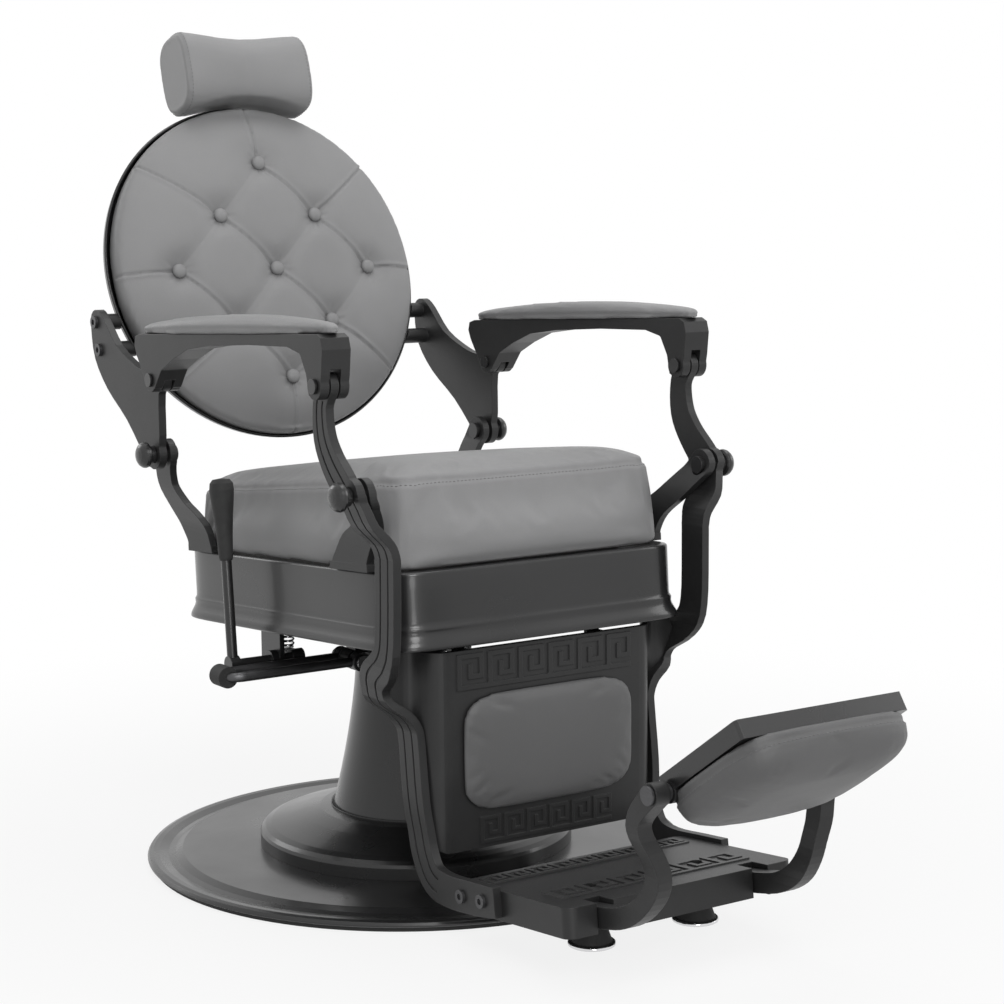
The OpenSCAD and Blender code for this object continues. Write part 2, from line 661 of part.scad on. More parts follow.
// Seat body: ram, hub, frame, board, shroud, cushion and brackets
module below_seat(drop) {
  reach = shroud_half_d * 2;
  at_seat() translate([-reach, -reach, -drop - reach]) cube([reach * 2, reach * 2, reach]);
}
module lift_ram() {
  color(chrome) translate([0, 0, ram_foot_z]) cylinder(h = pump_head_z + pump_head_h + gap - ram_foot_z, r = ram_r);
}
module mount_hub() {
  foot = pump_head_z + pump_head_h + gap;
  color(metal) intersection() {
    union() {
      translate([0, 0, foot]) cylinder(h = hub_top_z, r = ram_r * 2);
      translate([0, 0, foot]) cylinder(h = sheet * 3, r = pump_head_r);
    }
    below_seat(rail_h);
  }
}
module seat_frame() {
  rail_l = shroud_half_d * 1.7;
  cross_w = frame_half_w * 2 + rail_w;
  cross_half = frame_half_w + rail_w * 1.7;
  color(satin) at_seat() translate([0, 0, -rail_h]) {
    for (s = [-1, 1]) {
      translate([s * frame_half_w - rail_w / 2, -rail_l / 2, 0]) cube([rail_w, rail_l, rail_h]);
      translate([-cross_w / 2, s * rail_l / 2 - rail_w / 2, 0]) cube([cross_w, rail_w, rail_h]);
    }
    translate([-cross_w / 2, seat_forward - ram_r * 2, 0]) cube([cross_w, ram_r * 4, rail_h * 0.6]);
    for (y = [front_foot_y, rear_foot_y]) {
      translate([-cross_half, y - rail_w - cross_shift(y), rail_h * 0.6])
        cube([cross_half * 2, rail_w * 2, rail_h * 0.4]);
    }
  }
}
// Footprint of a bracket foot in the seat board, at its place along the seat
module foot_print(y, w, inset) {
  translate([bracket_x * 0.6 - inset, y - w / 2 - inset])
    square([bracket_x * 0.28 + inset * 2, w + inset * 2]);
}
front_foot_y = -front_knuckle_y + leg_drop * 0.195 + seat_forward;
rear_foot_y = rear_knuckle_y - leg_drop * 0.068 + seat_forward;
// The rear cross piece stands a little forward of its feet, clear of the shroud
function cross_shift(y) = y > 0 ? rail_w / 2 : 0;
front_foot_w = leg_drop * 0.19;
rear_foot_w = leg_drop * 0.14;
module seat_board() {
  ring = square_ring(cushion_half_w - sheet, cushion_half_d - sheet, seat_square, 0, 64);
  color(wood) at_seat() linear_extrude(board_h) difference() {
    polygon([for (p = ring) [p[0], p[1]]]);
    both_sides() {
      foot_print(front_foot_y, front_foot_w, gap);
      foot_print(rear_foot_y, rear_foot_w, gap);
    }
  }
}
module seat_shroud() {
  rail = sheet * 3;
  flare_shares = [0, 0, 0.2, 0.8, 1];
  drop_shares = [0, 0.66, 0.82, 0.91, 1];
  outer = [for (i = [0 : len(drop_shares) - 1]) [flare_shares[i] * lip_flare, -drop_shares[i] * shroud_h]];
  inner = [for (i = [len(outer) - 1 : -1 : 1]) [outer[i][0] - sheet, outer[i][1]]];
  flange = [[-sheet, -sheet], [-rail * 2, -sheet], [-rail * 2, 0]];
  section = concat(outer, inner, flange);
  color(metal) at_seat() closed_loft([
    for (q = section) square_ring(shroud_half_w + q[0], shroud_half_d + q[0], seat_square, q[1], 56)
  ]);
}
module seat_cushion() {
  section_shares = [
    [0.975, 0], [0.99, 0.12], [1, 0.3], [1, 0.62], [0.985, 0.84], [0.95, 0.97], [0.88, 1.04], [0.74, 1.16],
    [0.5, 1.28], [0.22, 1.34]
  ];
  crown_share = cushion_crown / cushion_side_h / 0.34;
  color(leather) at_seat() translate([0, 0, board_h]) loft([
    for (q = section_shares)
      square_ring(
        cushion_half_w * q[0], cushion_half_d * q[0], seat_square - 2.4 * (1 - q[0]),
        cushion_side_h * (q[1] > 1 ? 1 + (q[1] - 1) * crown_share : q[1]), 48
      )
  ]);
}
// A seat bracket on the left, from its eye at the origin down to its foot
module bracket_body(side_shares, spread_shares, y, z) {
  side = [for (q = smooth(side_shares, 5)) q * leg_drop];
  spread = [for (q = smooth(spread_shares, 5)) [bracket_x + q[0] * leg_drop, q[1] * leg_drop]];
  reach = leg_drop * 0.5;
  translate([0, y, z]) intersection() {
    side_slab(0, bracket_x * 2) filleted() {
      polygon(band(side, 0));
      circle(r = knuckle_eye_r);
    }
    front_slab(-reach, reach) polygon(band(wide(spread, bracket_t), 0));
  }
}
module bracket_foot(y, w) {
  at_seat() linear_extrude(board_h - gap) {
    foot_print(y, w, 0);
  }
}
module seat_bracket(side_shares, spread_shares, y, z, foot_y, foot_w) {
  color(metal) difference() {
    union() {
      difference() {
        bracket_body(side_shares, spread_shares, y, z);
        below_seat(0);
      }
      bracket_foot(foot_y, foot_w);
    }
    translate([0, y, z]) {
      x_cylinder(bracket_x - bracket_t * 2, bracket_x + bracket_t * 2, knuckle_pin_r);
      x_cylinder(bracket_x - bracket_t * 2, bracket_x - bracket_t / 2, washer_r + gap);
      x_cylinder(bracket_x + bracket_t / 2, bracket_x + bracket_t * 2, washer_r + gap);
    }
  }
}
module front_seat_bracket() {
  seat_bracket(front_bracket_shares, front_spread_shares, -front_knuckle_y, front_knuckle_z,
    front_foot_y, front_foot_w);
}
module rear_seat_bracket() {
  seat_bracket(rear_bracket_shares, rear_spread_shares, rear_knuckle_y, rear_knuckle_z,
    rear_foot_y, rear_foot_w);
}
module seat_bracket_front_right() {
  right_side() front_seat_bracket();
}
module seat_bracket_front_left() {
  front_seat_bracket();
}
module seat_bracket_rear_right() {
  right_side() rear_seat_bracket();
}
module seat_bracket_rear_left() {
  rear_seat_bracket();
}
// A pivot bolt with a domed cap outside the link and a nut inside the bracket
module knuckle_bolt() {
  inner = bracket_x - bracket_t / 2;
  neck = link_x + link_t / 2 + gap / 2;
  cap = neck + knob_neck_h;
  nut_h = knuckle_pin_r * 0.8;
  x_cylinder(inner - nut_h, cap, knuckle_pin_r);
  x_cylinder(bracket_x + bracket_t / 2, link_x - link_t / 2 - fit, washer_r);
  x_cylinder(inner - nut_h, inner, knuckle_pin_r * 1.5);
  x_cylinder(neck, cap, knob_neck_r);
  translate([cap, 0, 0]) rotate([0, 90, 0]) rotate_extrude() {
    intersection() {
      translate([0, -knob_r * 0.25]) scale_cap();
      translate([0, -knob_r * 0.25]) square([knob_r, knob_dome_h + knob_r]);
    }
  }
}
// Half section of a domed cap
module scale_cap() {
  polygon([
    [0, 0], [knob_r * 0.82, 0], [knob_r * 0.96, knob_dome_h * 0.12], [knob_r, knob_dome_h * 0.3],
    [knob_r * 0.96, knob_dome_h * 0.5], [knob_r * 0.82, knob_dome_h * 0.72],
    [knob_r * 0.6, knob_dome_h * 0.88], [knob_r * 0.3, knob_dome_h * 0.97], [0, knob_dome_h]
  ]);
}
module front_knuckle_bolts() {
  color(metal) both_sides() at_front_knuckle() knuckle_bolt();
}
module rear_knuckle_bolts() {
  color(metal) both_sides() at_rear_knuckle() knuckle_bolt();
}
module bracket_screws() {
  screw_r = knuckle_pin_r * 0.7;
  color(chrome) both_sides() at_seat() {
    for (f = [[front_foot_y, front_foot_w], [rear_foot_y, rear_foot_w]], s = [-0.25, 0.25]) {
      translate([bracket_x * 0.625, f[0] + f[1] * s - cross_shift(f[0]), -rail_h * 0.4 - screw_r])
        cylinder(h = screw_r, r = screw_r * 1.6, $fn = 6);
    }
  }
}
// Everything above a plane below the top of the shroud
module above_seat(drop) {
  reach = shroud_half_d * 2;
  at_seat() translate([-reach, -reach, -drop]) cube([reach * 2, reach * 2, reach]);
}
// Offset of the plate that carries the recline lever
release_x = frame_half_w + rail_w * 2.3;
release_wall = bracket_t * 0.7;
spring_x = release_x - rail_w;
spring_y = lever_y + rail_w;
spring_foot_z = lever_z + lever_shaft_r;
spring_h = spring_r * 4.5;
module release_bracket() {
  foot = lever_z - lever_shaft_r * 1.9;
  front = lever_y - lever_shaft_r * 1.9;
  tall = shroud_top_z - foot;
  tab_z = spring_foot_z + spring_h;
  color(metal) difference() {
    union() {
      translate([-release_x - release_wall, front, foot]) cube([release_wall, rail_w * 2.2, tall]);
      translate([0, lever_y, lever_z])
        x_cylinder(-release_x - release_wall * 2.5, -release_x, lever_shaft_r * 1.9);
      translate([-release_x, spring_y - spring_r * 1.4, tab_z])
        cube([release_x - spring_x + spring_r * 1.4, spring_r * 2.8, release_wall]);
      intersection() {
        translate([-release_x, front, foot])
          cube([release_x - frame_half_w + rail_w / 2, rail_w * 2.2, tall]);
        above_seat(rail_h + release_wall);
      }
    }
    above_seat(rail_h);
    translate([0, lever_y, lever_z])
      x_cylinder(-lever_x, -release_x + overrun, lever_shaft_r + fit);
  }
}
// A coil spring as one tube, standing between the lever arm and its tab
module release_spring() {
  sides = 6;
  per_turn = 8;
  turns = spring_turns;
  n = turns * per_turn;
  pitch = (spring_h - spring_wire_r * 2) / turns;
  slope = atan2(pitch, 2 * PI * spring_r);
  echo(spring_gap = pitch * cos(slope) - spring_wire_r * 2);
  color(chrome) translate([-spring_x, spring_y, spring_foot_z]) loft([
    for (k = [0 : n])
      let (a = 360 * k / per_turn, z = spring_wire_r + pitch * k / per_turn)
      [
        for (i = [0 : sides - 1])
          let (
            b = -360 * i / sides, out = spring_r + spring_wire_r * cos(b),
            up = spring_wire_r * sin(b)
          )
          [
            out * cos(a) + up * sin(slope) * sin(a), out * sin(a) - up * sin(slope) * cos(a),
            z + up * cos(slope)
          ]
      ]
  ]);
}
module recline_lever() {
  shank_top = lever_len * 0.62;
  arm_l = spring_y - lever_y + spring_r;
  color(metal) {
    translate([0, lever_y, lever_z]) {
      x_cylinder(-lever_x - lever_rod_r, -spring_x + spring_r, lever_shaft_r);
      x_cylinder(-lever_x - lever_rod_r, -lever_x + lever_rod_r, lever_shaft_r * 1.8);
      x_cylinder(-spring_x - spring_r, -spring_x + spring_r, lever_shaft_r * 1.6);
      translate([-spring_x - spring_r, 0, -lever_shaft_r]) cube([spring_r * 2, arm_l, lever_shaft_r * 2]);
    }
    at_lever() cylinder(h = shank_top, r = lever_rod_r);
  }
}
module at_lever() {
  translate([-lever_x, lever_y, lever_z]) rotate([-lever_lean, 0, 0]) children();
}
module lever_grip() {
  foot = lever_len * 0.56;
  rest = lever_len - foot;
  profile_shares = [
    [0.5, 0], [0.58, 0.03], [0.6, 0.1], [0.66, 0.3], [0.78, 0.52], [0.92, 0.72], [1, 0.86], [0.94, 0.94],
    [0.7, 0.985], [0, 1]
  ];
  color(rubber) at_lever() difference() {
    rotate_extrude()
      polygon(concat([[0, foot]], [for (q = profile_shares) [q[0] * lever_grip_r, foot + q[1] * rest]]));
    translate([0, 0, foot - overrun]) cylinder(h = lever_len * 0.06 + overrun, r = lever_rod_r);
  }
}
// Recline lock: a tube below the seat frame, a sliding rod and a slotted lug on the leg frame
lock_tube_front = lock_y - lock_rod_r * 2.5;
lock_tube_l = rail_w * 6.4;
module hanger(y, w) {
  foot = lock_z;
  intersection() {
    translate([-lock_x - w / 2, -y, foot]) cube([w, release_wall, shroud_top_z]);
    below_seat(rail_h);
  }
}
module lock_tube() {
  outer_r = lock_rod_r * 1.8;
  hanger_w = outer_r * 2;
  color(metal) difference() {
    union() {
      translate([-lock_x, -lock_tube_front, lock_z]) rotate([-90, 0, 0])
        cylinder(h = lock_tube_l, r = outer_r);
      hanger(lock_tube_front, hanger_w);
      hanger(lock_tube_front - lock_tube_l + release_wall, hanger_w);
      intersection() {
        translate([-lock_x - hanger_w / 2, -shroud_half_d + rail_w, lock_z])
          cube([hanger_w, shroud_half_d - rail_w - lock_tube_front + release_wall, shroud_top_z]);
        below_seat(rail_h);
        above_seat(rail_h + release_wall);
      }
    }
    translate([-lock_x, -lock_tube_front - overrun, lock_z]) rotate([-90, 0, 0])
      cylinder(h = lock_tube_l + overrun * 2, r = lock_rod_r + fit);
  }
}
module lock_rod() {
  rod_l = lock_tube_l + rail_w * 1.8;
  eye_x = link_t + gap;
  color(chrome) {
    translate([-lock_x, -lock_y - lock_rod_r, lock_z]) rotate([-90, 0, 0])
      cylinder(h = rod_l, r = lock_rod_r);
    translate([-lock_x, -lock_y, lock_z]) {
      x_cylinder(0, eye_x * 1.8, lock_rod_r * 0.7);
      x_cylinder(eye_x * 1.8, eye_x * 2, lock_rod_r * 1.1);
    }
  }
}
module leg_stops() {
  stop_x = frame_half_w * 0.8;
  post_w = rail_w * 0.8;
  post_y = panel_y - panel_t - rail_w * 1.6;
  foot = panel_z1 - rail_w * 0.9;
  color(metal) both_sides() {
    intersection() {
      translate([stop_x - post_w / 2, -post_y, foot]) cube([post_w, release_wall, shroud_top_z]);
      below_seat(rail_h);
    }
    translate([stop_x, -post_y, foot + post_w / 2]) rotate([90, 0, 0])
      cylinder(h = rail_w * 1.6, r = post_w * 0.4);
  }
}

// Leg frame: side castings, panel, pad and footplate
leg_side_path = [for (q = smooth(leg_path_shares, 4)) q * leg_drop];
leg_spread_path = [for (q = smooth(leg_spread_shares, 3)) q * leg_drop];
module leg_blank() {
  reach = leg_drop * 0.4;
  intersection() {
    side_slab(link_x * 0.5, link_x * 1.2) filleted() {
      polygon(band(leg_side_path, 0));
      circle(r = knuckle_eye_r);
      translate([leg_side_path[0][0], leg_side_path[0][1]]) circle(r = arm_eye_r);
    }
    front_slab(-reach, reach) polygon(band(wide(leg_spread_path, link_t), 0));
  }
}
module leg_groove(shift_share) {
  reach = leg_drop * 0.4;
  count = len(leg_side_path);
  core = [for (i = [round(count * 0.04) : round(count * 0.86)]) leg_side_path[i]];
  shifted = [
    for (i = [0 : len(core) - 1])
      let (p = [core[i][0], core[i][1]] + path_normal(core, i) * core[i][2] * shift_share)
      [p[0], p[1], groove_w]
  ];
  skin = moved(leg_spread_path, (link_t + overrun) / 2 - groove_d / 2);
  intersection() {
    side_slab(link_x * 0.5, link_x * 1.2) polygon(band(shifted, 0));
    front_slab(-reach, reach) polygon(band(wide(skin, groove_d + overrun), 0));
  }
}
module leg_side() {
  bolt_r = knuckle_pin_r * 0.55;
  color(metal) difference() {
    at_front_knuckle() difference() {
      leg_blank();
      leg_groove(-0.2);
      leg_groove(0.2);
      x_cylinder(link_x - link_t, link_x + link_t, knuckle_pin_r + fit);
      x_cylinder(link_x - link_t * 1.5, link_x - link_t / 2, washer_r + gap);
    }
    translate([0, -arm_front_y, arm_front_z]) x_cylinder(link_x - link_t, link_x + link_t, arm_pin_r);
    for (q = leg_bolt_places) {
      translate([0, q[0], q[1]]) x_cylinder(foot_half_w - link_t, foot_half_w + link_t * 2, bolt_r);
    }
  }
}
// Places of the two bolts at the foot of each side casting
leg_bolt_places = [
  for (q = [[-0.170, -1.010], [-0.262, -0.999]]) [-front_knuckle_y + q[0] * leg_drop, front_knuckle_z + q[1] * leg_drop]
];
module leg_side_right() {
  right_side() leg_side();
}
module leg_side_left() {
  leg_side();
}
// One raised row of the key pattern, centred, with a given line width and number of hooks
module key_row(line, hooks) {
  start = -key_pitch * hooks / 2;
  offset(delta = -relief_h / 20) {
    for (k = [0 : hooks - 1], i = [0 : len(key_hook) - 2]) {
      a = key_hook[i];
      b = key_hook[i + 1];
      translate([min(a[0], b[0]) + start + k * key_pitch, min(a[1], b[1]) - 3.5] * line)
        square([abs(a[0] - b[0]) + 1, abs(a[1] - b[1]) + 1] * line);
    }
    translate([start, -3.5] * line) square([key_pitch * hooks - 1, 1] * line);
  }
}
module leg_panel() {
  flange_shares = [
    [0.60, 0], [0.638, 0.004], [0.664, 0.016], [0.684, 0.032], [0.702, 0.056], [0.722, 0.082],
    [0.744, 0.100], [0.776, 0.110], [0.83, 0.112], [1.02, 0.096]
  ];
  half = link_x * 0.88;
  deep = leg_drop * 0.75;
  curve = [for (q = smooth(flange_shares, 3)) [q[0] * half, -panel_y + panel_t / 2 + q[1] * deep * 0.9]];
  plan = concat([for (i = [len(curve) - 1 : -1 : 0]) [-curve[i][0], curve[i][1]]], curve);
  top_line = leg_drop * 0.095;
  band_z = (calf_z1 + panel_z1) / 2;
  band_z0 = (panel_z0 + calf_z0) / 2;
  side = [
    for (q = moved(leg_spread_path, -link_t / 2))
      if (q[1] + front_knuckle_z < panel_z1 - sheet * 4 && q[1] + front_knuckle_z > panel_z0 + sheet * 3)
        [q[0], q[1] + front_knuckle_z]
  ];
  top_w = side[0][0];
  foot_w = side[len(side) - 1][0];
  face = concat(
    [[top_w * 0.93, panel_z1], [top_w * 0.98, panel_z1 - sheet * 1.2]], side,
    [[foot_w * 0.97, panel_z0 + sheet * 1.5], [foot_w * 0.9, panel_z0]]
  );
  color(metal) {
    intersection() {
      translate([0, 0, panel_z0]) linear_extrude(panel_z1 - panel_z0) polygon(band(wide(plan, panel_t), 0));
      front_slab(-panel_y - panel_t, -panel_y + deep)
        polygon(concat(face, [for (i = [len(face) - 1 : -1 : 0]) [-face[i][0], face[i][1]]]));
    }
    translate([0, 0, band_z]) front_slab(-panel_y - relief_h, -panel_y + panel_t / 2) key_row(line = top_line / 7, hooks = 6);
    translate([0, 0, band_z0]) front_slab(-panel_y - relief_h, -panel_y + panel_t / 2)
      key_row(line = top_line * 0.76 / 7, hooks = 6);
    lock_lug();
  }
}
module lock_lug() {
  slot_r = lock_rod_r * 0.7;
  play = lock_rod_r * 0.25;
  angle = atan2(front_knuckle_y - lock_y, front_knuckle_z - lock_z);
  drop = front_knuckle_z - lock_z;
  travel = drop / cos(angle) - drop;
  lug = link_t * 1.6;
  translate([-lock_x + lock_rod_r + gap * 3, 0, 0]) difference() {
    side_slab(0, link_t * 0.8) polygon([
      [-panel_y + panel_t / 2, lock_z - lug * 1.5], [-panel_y + panel_t / 2, lock_z + lug * 2.2],
      [-lock_y - lug * 0.6, lock_z + lug * 1.6], [-lock_y + lug * 0.3, lock_z + lug * 1.4],
      [-lock_y + lug * 0.7, lock_z + lug * 0.9], [-lock_y + lug * 0.9, lock_z - lug * 0.5],
      [-lock_y + lug * 0.5, lock_z - lug * 0.95], [-lock_y - lug * 0.6, lock_z - lug]
    ]);
    translate([-overrun, -lock_y, lock_z]) rotate([angle, 0, 0]) side_slab(0, link_t + overrun) {
      translate([-slot_r - play, -play]) square([(slot_r + play) * 2, travel + play * 2]);
      circle(r = slot_r + play);
      translate([0, travel]) circle(r = slot_r + play);
    }
  }
}
module calf_pad() {
  half_h = (calf_z1 - calf_z0) / 2;
  section_shares = [[0.985, 0], [1, 0.25], [0.99, 0.6], [0.95, 0.82], [0.85, 0.94], [0.6, 1], [0.25, 1.02]];
  color(leather) translate([0, -panel_y, calf_z0 + half_h]) rotate([90, 0, 0]) loft([
    for (q = section_shares)
      square_ring(calf_half_w * q[0], half_h * q[0] * 0.5 + half_h * 0.5 * pow(q[0], 2), 5, calf_h * q[1], 40)
  ]);
}
// Outline of the footplate seen from above
module foot_outline(inset) {
  depth = foot_front_y - foot_rear_y;
  round_r = skirt_w * 1.4;
  offset(delta = -inset) difference() {
    translate([-foot_half_w, -depth]) offset(r = round_r) offset(delta = -round_r)
      square([foot_half_w * 2, depth]);
    both_sides() translate([foot_arm_x - notch_w / 2, -depth - overrun])
      square([notch_w, depth * 0.13 + overrun]);
  }
}
module footplate() {
  depth = foot_front_y - foot_rear_y;
  rear_row = depth * 0.13;
  front_row = depth * 0.7;
  unit = depth * 0.022;
  bolt_r = knuckle_pin_r * 0.55;
  color(metal) difference() {
    at_footplate() {
      translate([0, 0, -tread_t]) linear_extrude(tread_t) foot_outline(0);
      translate([0, 0, -foot_h]) linear_extrude(foot_h) difference() {
        foot_outline(0);
        foot_outline(skirt_w);
      }
      for (x = [-1, 0, 1]) {
        translate([x * pad_x - tread_t / 2, -depth + skirt_w / 2, -foot_h * 0.6])
          cube([tread_t, depth - skirt_w, foot_h * 0.6]);
      }
      translate([0, -rear_row, -tread_t / 2]) linear_extrude(tread_t / 2 + relief_h) key_row(line = unit, hooks = 9);
      translate([0, -front_row, -tread_t / 2]) linear_extrude(tread_t / 2 + relief_h)
        key_row(line = unit * 1.4, hooks = 6);
    }
    for (q = leg_bolt_places) {
      translate([0, q[0], q[1]]) x_cylinder(-foot_half_w * 1.2, foot_half_w * 1.2, bolt_r);
    }
    both_sides() {
      translate([pad_x, -pad_y, pad_z]) cylinder(h = foot_rear_z, r = pad_r * 0.3);
      at_footplate() translate([foot_arm_x - notch_w / 2, -depth - overrun, -foot_h - overrun])
        cube([notch_w, depth * 0.13 + skirt_w * 1.5 + overrun, foot_h + overrun - tread_t]);
    }
  }
}
module rubber_feet() {
  top = foot_rear_z - tread_t - foot_h * 0.2;
  color(rubber) both_sides() translate([pad_x, -pad_y, pad_z]) {
    rotate_extrude() polygon([
      [0, 0], [pad_r * 0.96, 0], [pad_r, sheet * 0.4], [pad_r, sheet], [pad_r * 0.9, sheet * 1.6],
      [pad_r * 0.62, (top - pad_z) * 0.62], [pad_r * 0.5, top - pad_z], [0, top - pad_z]
    ]);
    cylinder(h = foot_rear_z - pad_z, r = pad_r * 0.3);
  }
}
// An arm of the flip rest on the left
module foot_arm_blank() {
  side = [for (q = smooth(foot_arm_shares, 4)) q * leg_drop];
  spread = [for (q = smooth(foot_spread_shares, 3)) [foot_arm_x + q[0] * leg_drop, q[1] * leg_drop]];
  end = side[len(side) - 1];
  reach = leg_drop;
  at_front_knuckle() intersection() {
    side_slab(foot_arm_x * 0.5, foot_arm_x * 1.6) filleted() {
      polygon(band(side, 0));
      translate([end[0], end[1]]) circle(r = flip_pin_r * 2.1);
    }
    front_slab(-reach, reach) polygon(band(wide(spread, foot_arm_t), 0));
  }
}
module foot_arm() {
  depth = foot_front_y - foot_rear_y;
  color(metal) difference() {
    foot_arm_blank();
    at_footplate() translate([0, -depth * 0.87, -tread_t]) cube([foot_half_w, depth, foot_h]);
    translate([0, -flip_y, flip_z]) x_cylinder(flip_arm_x - foot_arm_t, flip_arm_x + foot_arm_t, flip_pin_r);
  }
}
module foot_arm_right() {
  right_side() foot_arm();
}
module foot_arm_left() {
  foot_arm();
}
module leg_bolts() {
  bolt_r = knuckle_pin_r * 0.55;
  head_x = foot_half_w + link_t;
  color(satin) both_sides() for (q = leg_bolt_places) {
    translate([0, q[0], q[1]]) {
      x_cylinder(foot_half_w - skirt_w, head_x, bolt_r);
      difference() {
        x_cylinder(head_x, head_x + bolt_r, bolt_r * 2);
        translate([head_x + bolt_r * 0.4, 0, 0]) rotate([0, 90, 0]) cylinder(h = bolt_r, r = bolt_r, $fn = 6);
      }
    }
  }
}
// A pin through an armrest at its middle, from one face to the other
module arm_pin() {
  half = arm_w / 2;
  head = arm_pin_r * 0.6;
  x_cylinder(link_x - half - head, link_x + half + head, arm_pin_r);
  x_cylinder(link_x + half + gap / 2, link_x + half + gap / 2 + head, arm_pin_r * 1.7);
  x_cylinder(link_x - half - gap / 2 - head, link_x - half - gap / 2, arm_pin_r * 1.7);
}
module front_arm_pins() {
  color(metal) both_sides() translate([0, -arm_front_y, arm_front_z]) arm_pin();
}
module rear_arm_pins() {
  color(metal) both_sides() translate([0, arm_rear_y, arm_rear_z]) arm_pin();
}
module flip_pins() {
  outer = flip_arm_x + foot_arm_t / 2 + gap / 2;
  inner = flip_half_w - tread_t;
  head = flip_pin_r * 0.5;
  color(satin) both_sides() translate([0, -flip_y, flip_z]) {
    x_cylinder(inner, outer + head, flip_pin_r);
    x_cylinder(outer, outer + head, flip_pin_r * 1.7);
    x_cylinder(flip_half_w + gap / 2, flip_arm_x - foot_arm_t / 2, flip_pin_r * 1.5);
  }
}
// Outline of the flip rest with its rounded corners, from its tail to its tip
function flip_ring(hw, tail, tip, z, n) =
  let (mid = (tail - tip) / 2, half = (tail + tip) / 2)
  [
    for (i = [0 : n - 1])
      let (a = 360 * i / n, c = cos(a), s = sin(a), e = s > 0 ? 2.3 : 5)
      [hw * sign(c) * pow(abs(c), 2 / e), mid + half * sign(s) * pow(abs(s), 2 / e), z]
  ];
module flip_pan() {
  top = flip_pan_h - sheet / 2;
  low = -sheet / 2;
  lug_x = flip_half_w - tread_t;
  taper = flip_half_w * 0.22;
  outline = [
    [-flip_half_w + sheet, -flip_len], [-flip_half_w, -flip_len + sheet], [-flip_half_w, -flip_tail],
    [-flip_half_w, flip_tail * 0.6], [-flip_half_w + taper, flip_tail], [flip_half_w - taper, flip_tail],
    [flip_half_w, flip_tail * 0.6], [flip_half_w, -flip_len + sheet], [flip_half_w - sheet, -flip_len]
  ];
  color(metal) difference() {
    at_flip() {
      translate([0, 0, low]) linear_extrude(sheet) polygon(outline);
      translate([0, 0, low]) linear_extrude(top - low) difference() {
        polygon(outline);
        offset(delta = -tread_t) polygon(outline);
      }
      translate([0, 0, top - sheet]) linear_extrude(sheet) polygon(outline);
      both_sides() side_slab(lug_x, flip_half_w) circle(r = flip_pin_r * 2);
    }
    both_sides() translate([0, -flip_y, flip_z])
      x_cylinder(lug_x - overrun, flip_half_w + overrun, flip_pin_r + fit);
  }
}
module flip_pad() {
  section_shares = [
    [0.97, 0], [1, 0.08], [1, 0.3], [0.985, 0.5], [0.94, 0.68], [0.84, 0.82], [0.66, 0.93], [0.4, 0.98],
    [0.15, 1]
  ];
  tail = flip_tail * 2.9;
  tip = flip_len * 1.07;
  low = -sheet / 2 - gap / 4;
  color(leather) at_flip() mirror([0, 0, 1]) translate([0, 0, -low]) loft([
    for (q = section_shares)
      flip_ring(
        (flip_half_w + sheet) * q[0], tail - (1 - q[0]) * flip_half_w, tip - (1 - q[0]) * flip_half_w,
        flip_pad_h * q[1], 40
      )
  ]);
}

// Back: round shell, tufted cushion, side brackets and headrest
// Places of the bolts between the shell and a side bracket: up the back and in front of its middle plane
back_bolt_places = [[-0.260, -0.004], [-0.420, -0.004]] * back_r;
// Side of the shell in section, moved inwards by a distance: outwards for the skin, else from the floor up
function shell_side(inset) = [
  for (k = [0 : len(shell_shares) - 1])
    let (q = shell_shares[inset > 0 ? len(shell_shares) - 1 - k : k])
    [q[0] * back_r - inset, -q[1] * (shell_back - inset)]
];
module back_shell() {
  floor_n = -shell_back;
  outer = concat(
    [[back_r - sheet / 2, shell_front], [back_r, shell_front - sheet / 2]], shell_side(0), [[0, floor_n]]
  );
  inner = concat(
    [[0, floor_n + shell_t]], shell_side(shell_t),
    [[back_r - shell_t, shell_front - sheet / 2], [back_r - shell_t + sheet / 2, shell_front]]
  );
  color(metal) difference() {
    at_back() rotate_extrude() polygon(concat(outer, inner));
    both_sides() back_bolt_holes();
    at_back() for (v = socket_screws) {
      translate([0, v, floor_n - overrun]) cylinder(h = shell_t + overrun * 2, r = headrest_pin_r * 0.6);
    }
  }
}
socket_screws = [back_r * 0.22, back_r * 0.5];
module back_bolt_holes() {
  bolt_r = knuckle_pin_r * 0.6;
  at_back() for (q = back_bolt_places) translate([0, q[0], q[1]]) x_cylinder(back_r * 0.5, link_x * 1.1, bolt_r);
}
function back_height(x, y) =
  let (
    share = min(1, norm([x, y]) / (back_r * 0.99)),
    places = [for (t = tufts) [t[0] * tuft_x, t[1] * tuft_y]],
    dip = [for (p = places) exp(-pow(norm([x, y] - p) / tuft_r, 2))],
    fold = [
      for (q = pleats) exp(-pow(stretch_distance([x, y], places[q[0]], places[q[1]]) / pleat_w, 2))
    ],
    edge = [
      for (q = edge_pleats)
        exp(-pow(stretch_distance([x, y], places[q[0]], places[q[0]] + q[1] * back_r) / pleat_w, 2))
    ],
    full = back_edge_h + back_crown * (1 - pow(share, 4))
  )
  full - min(1, 1.2 - share) * pleat_d * max(max(fold), max(edge)) - (tuft_d - pleat_d) * max(dip);
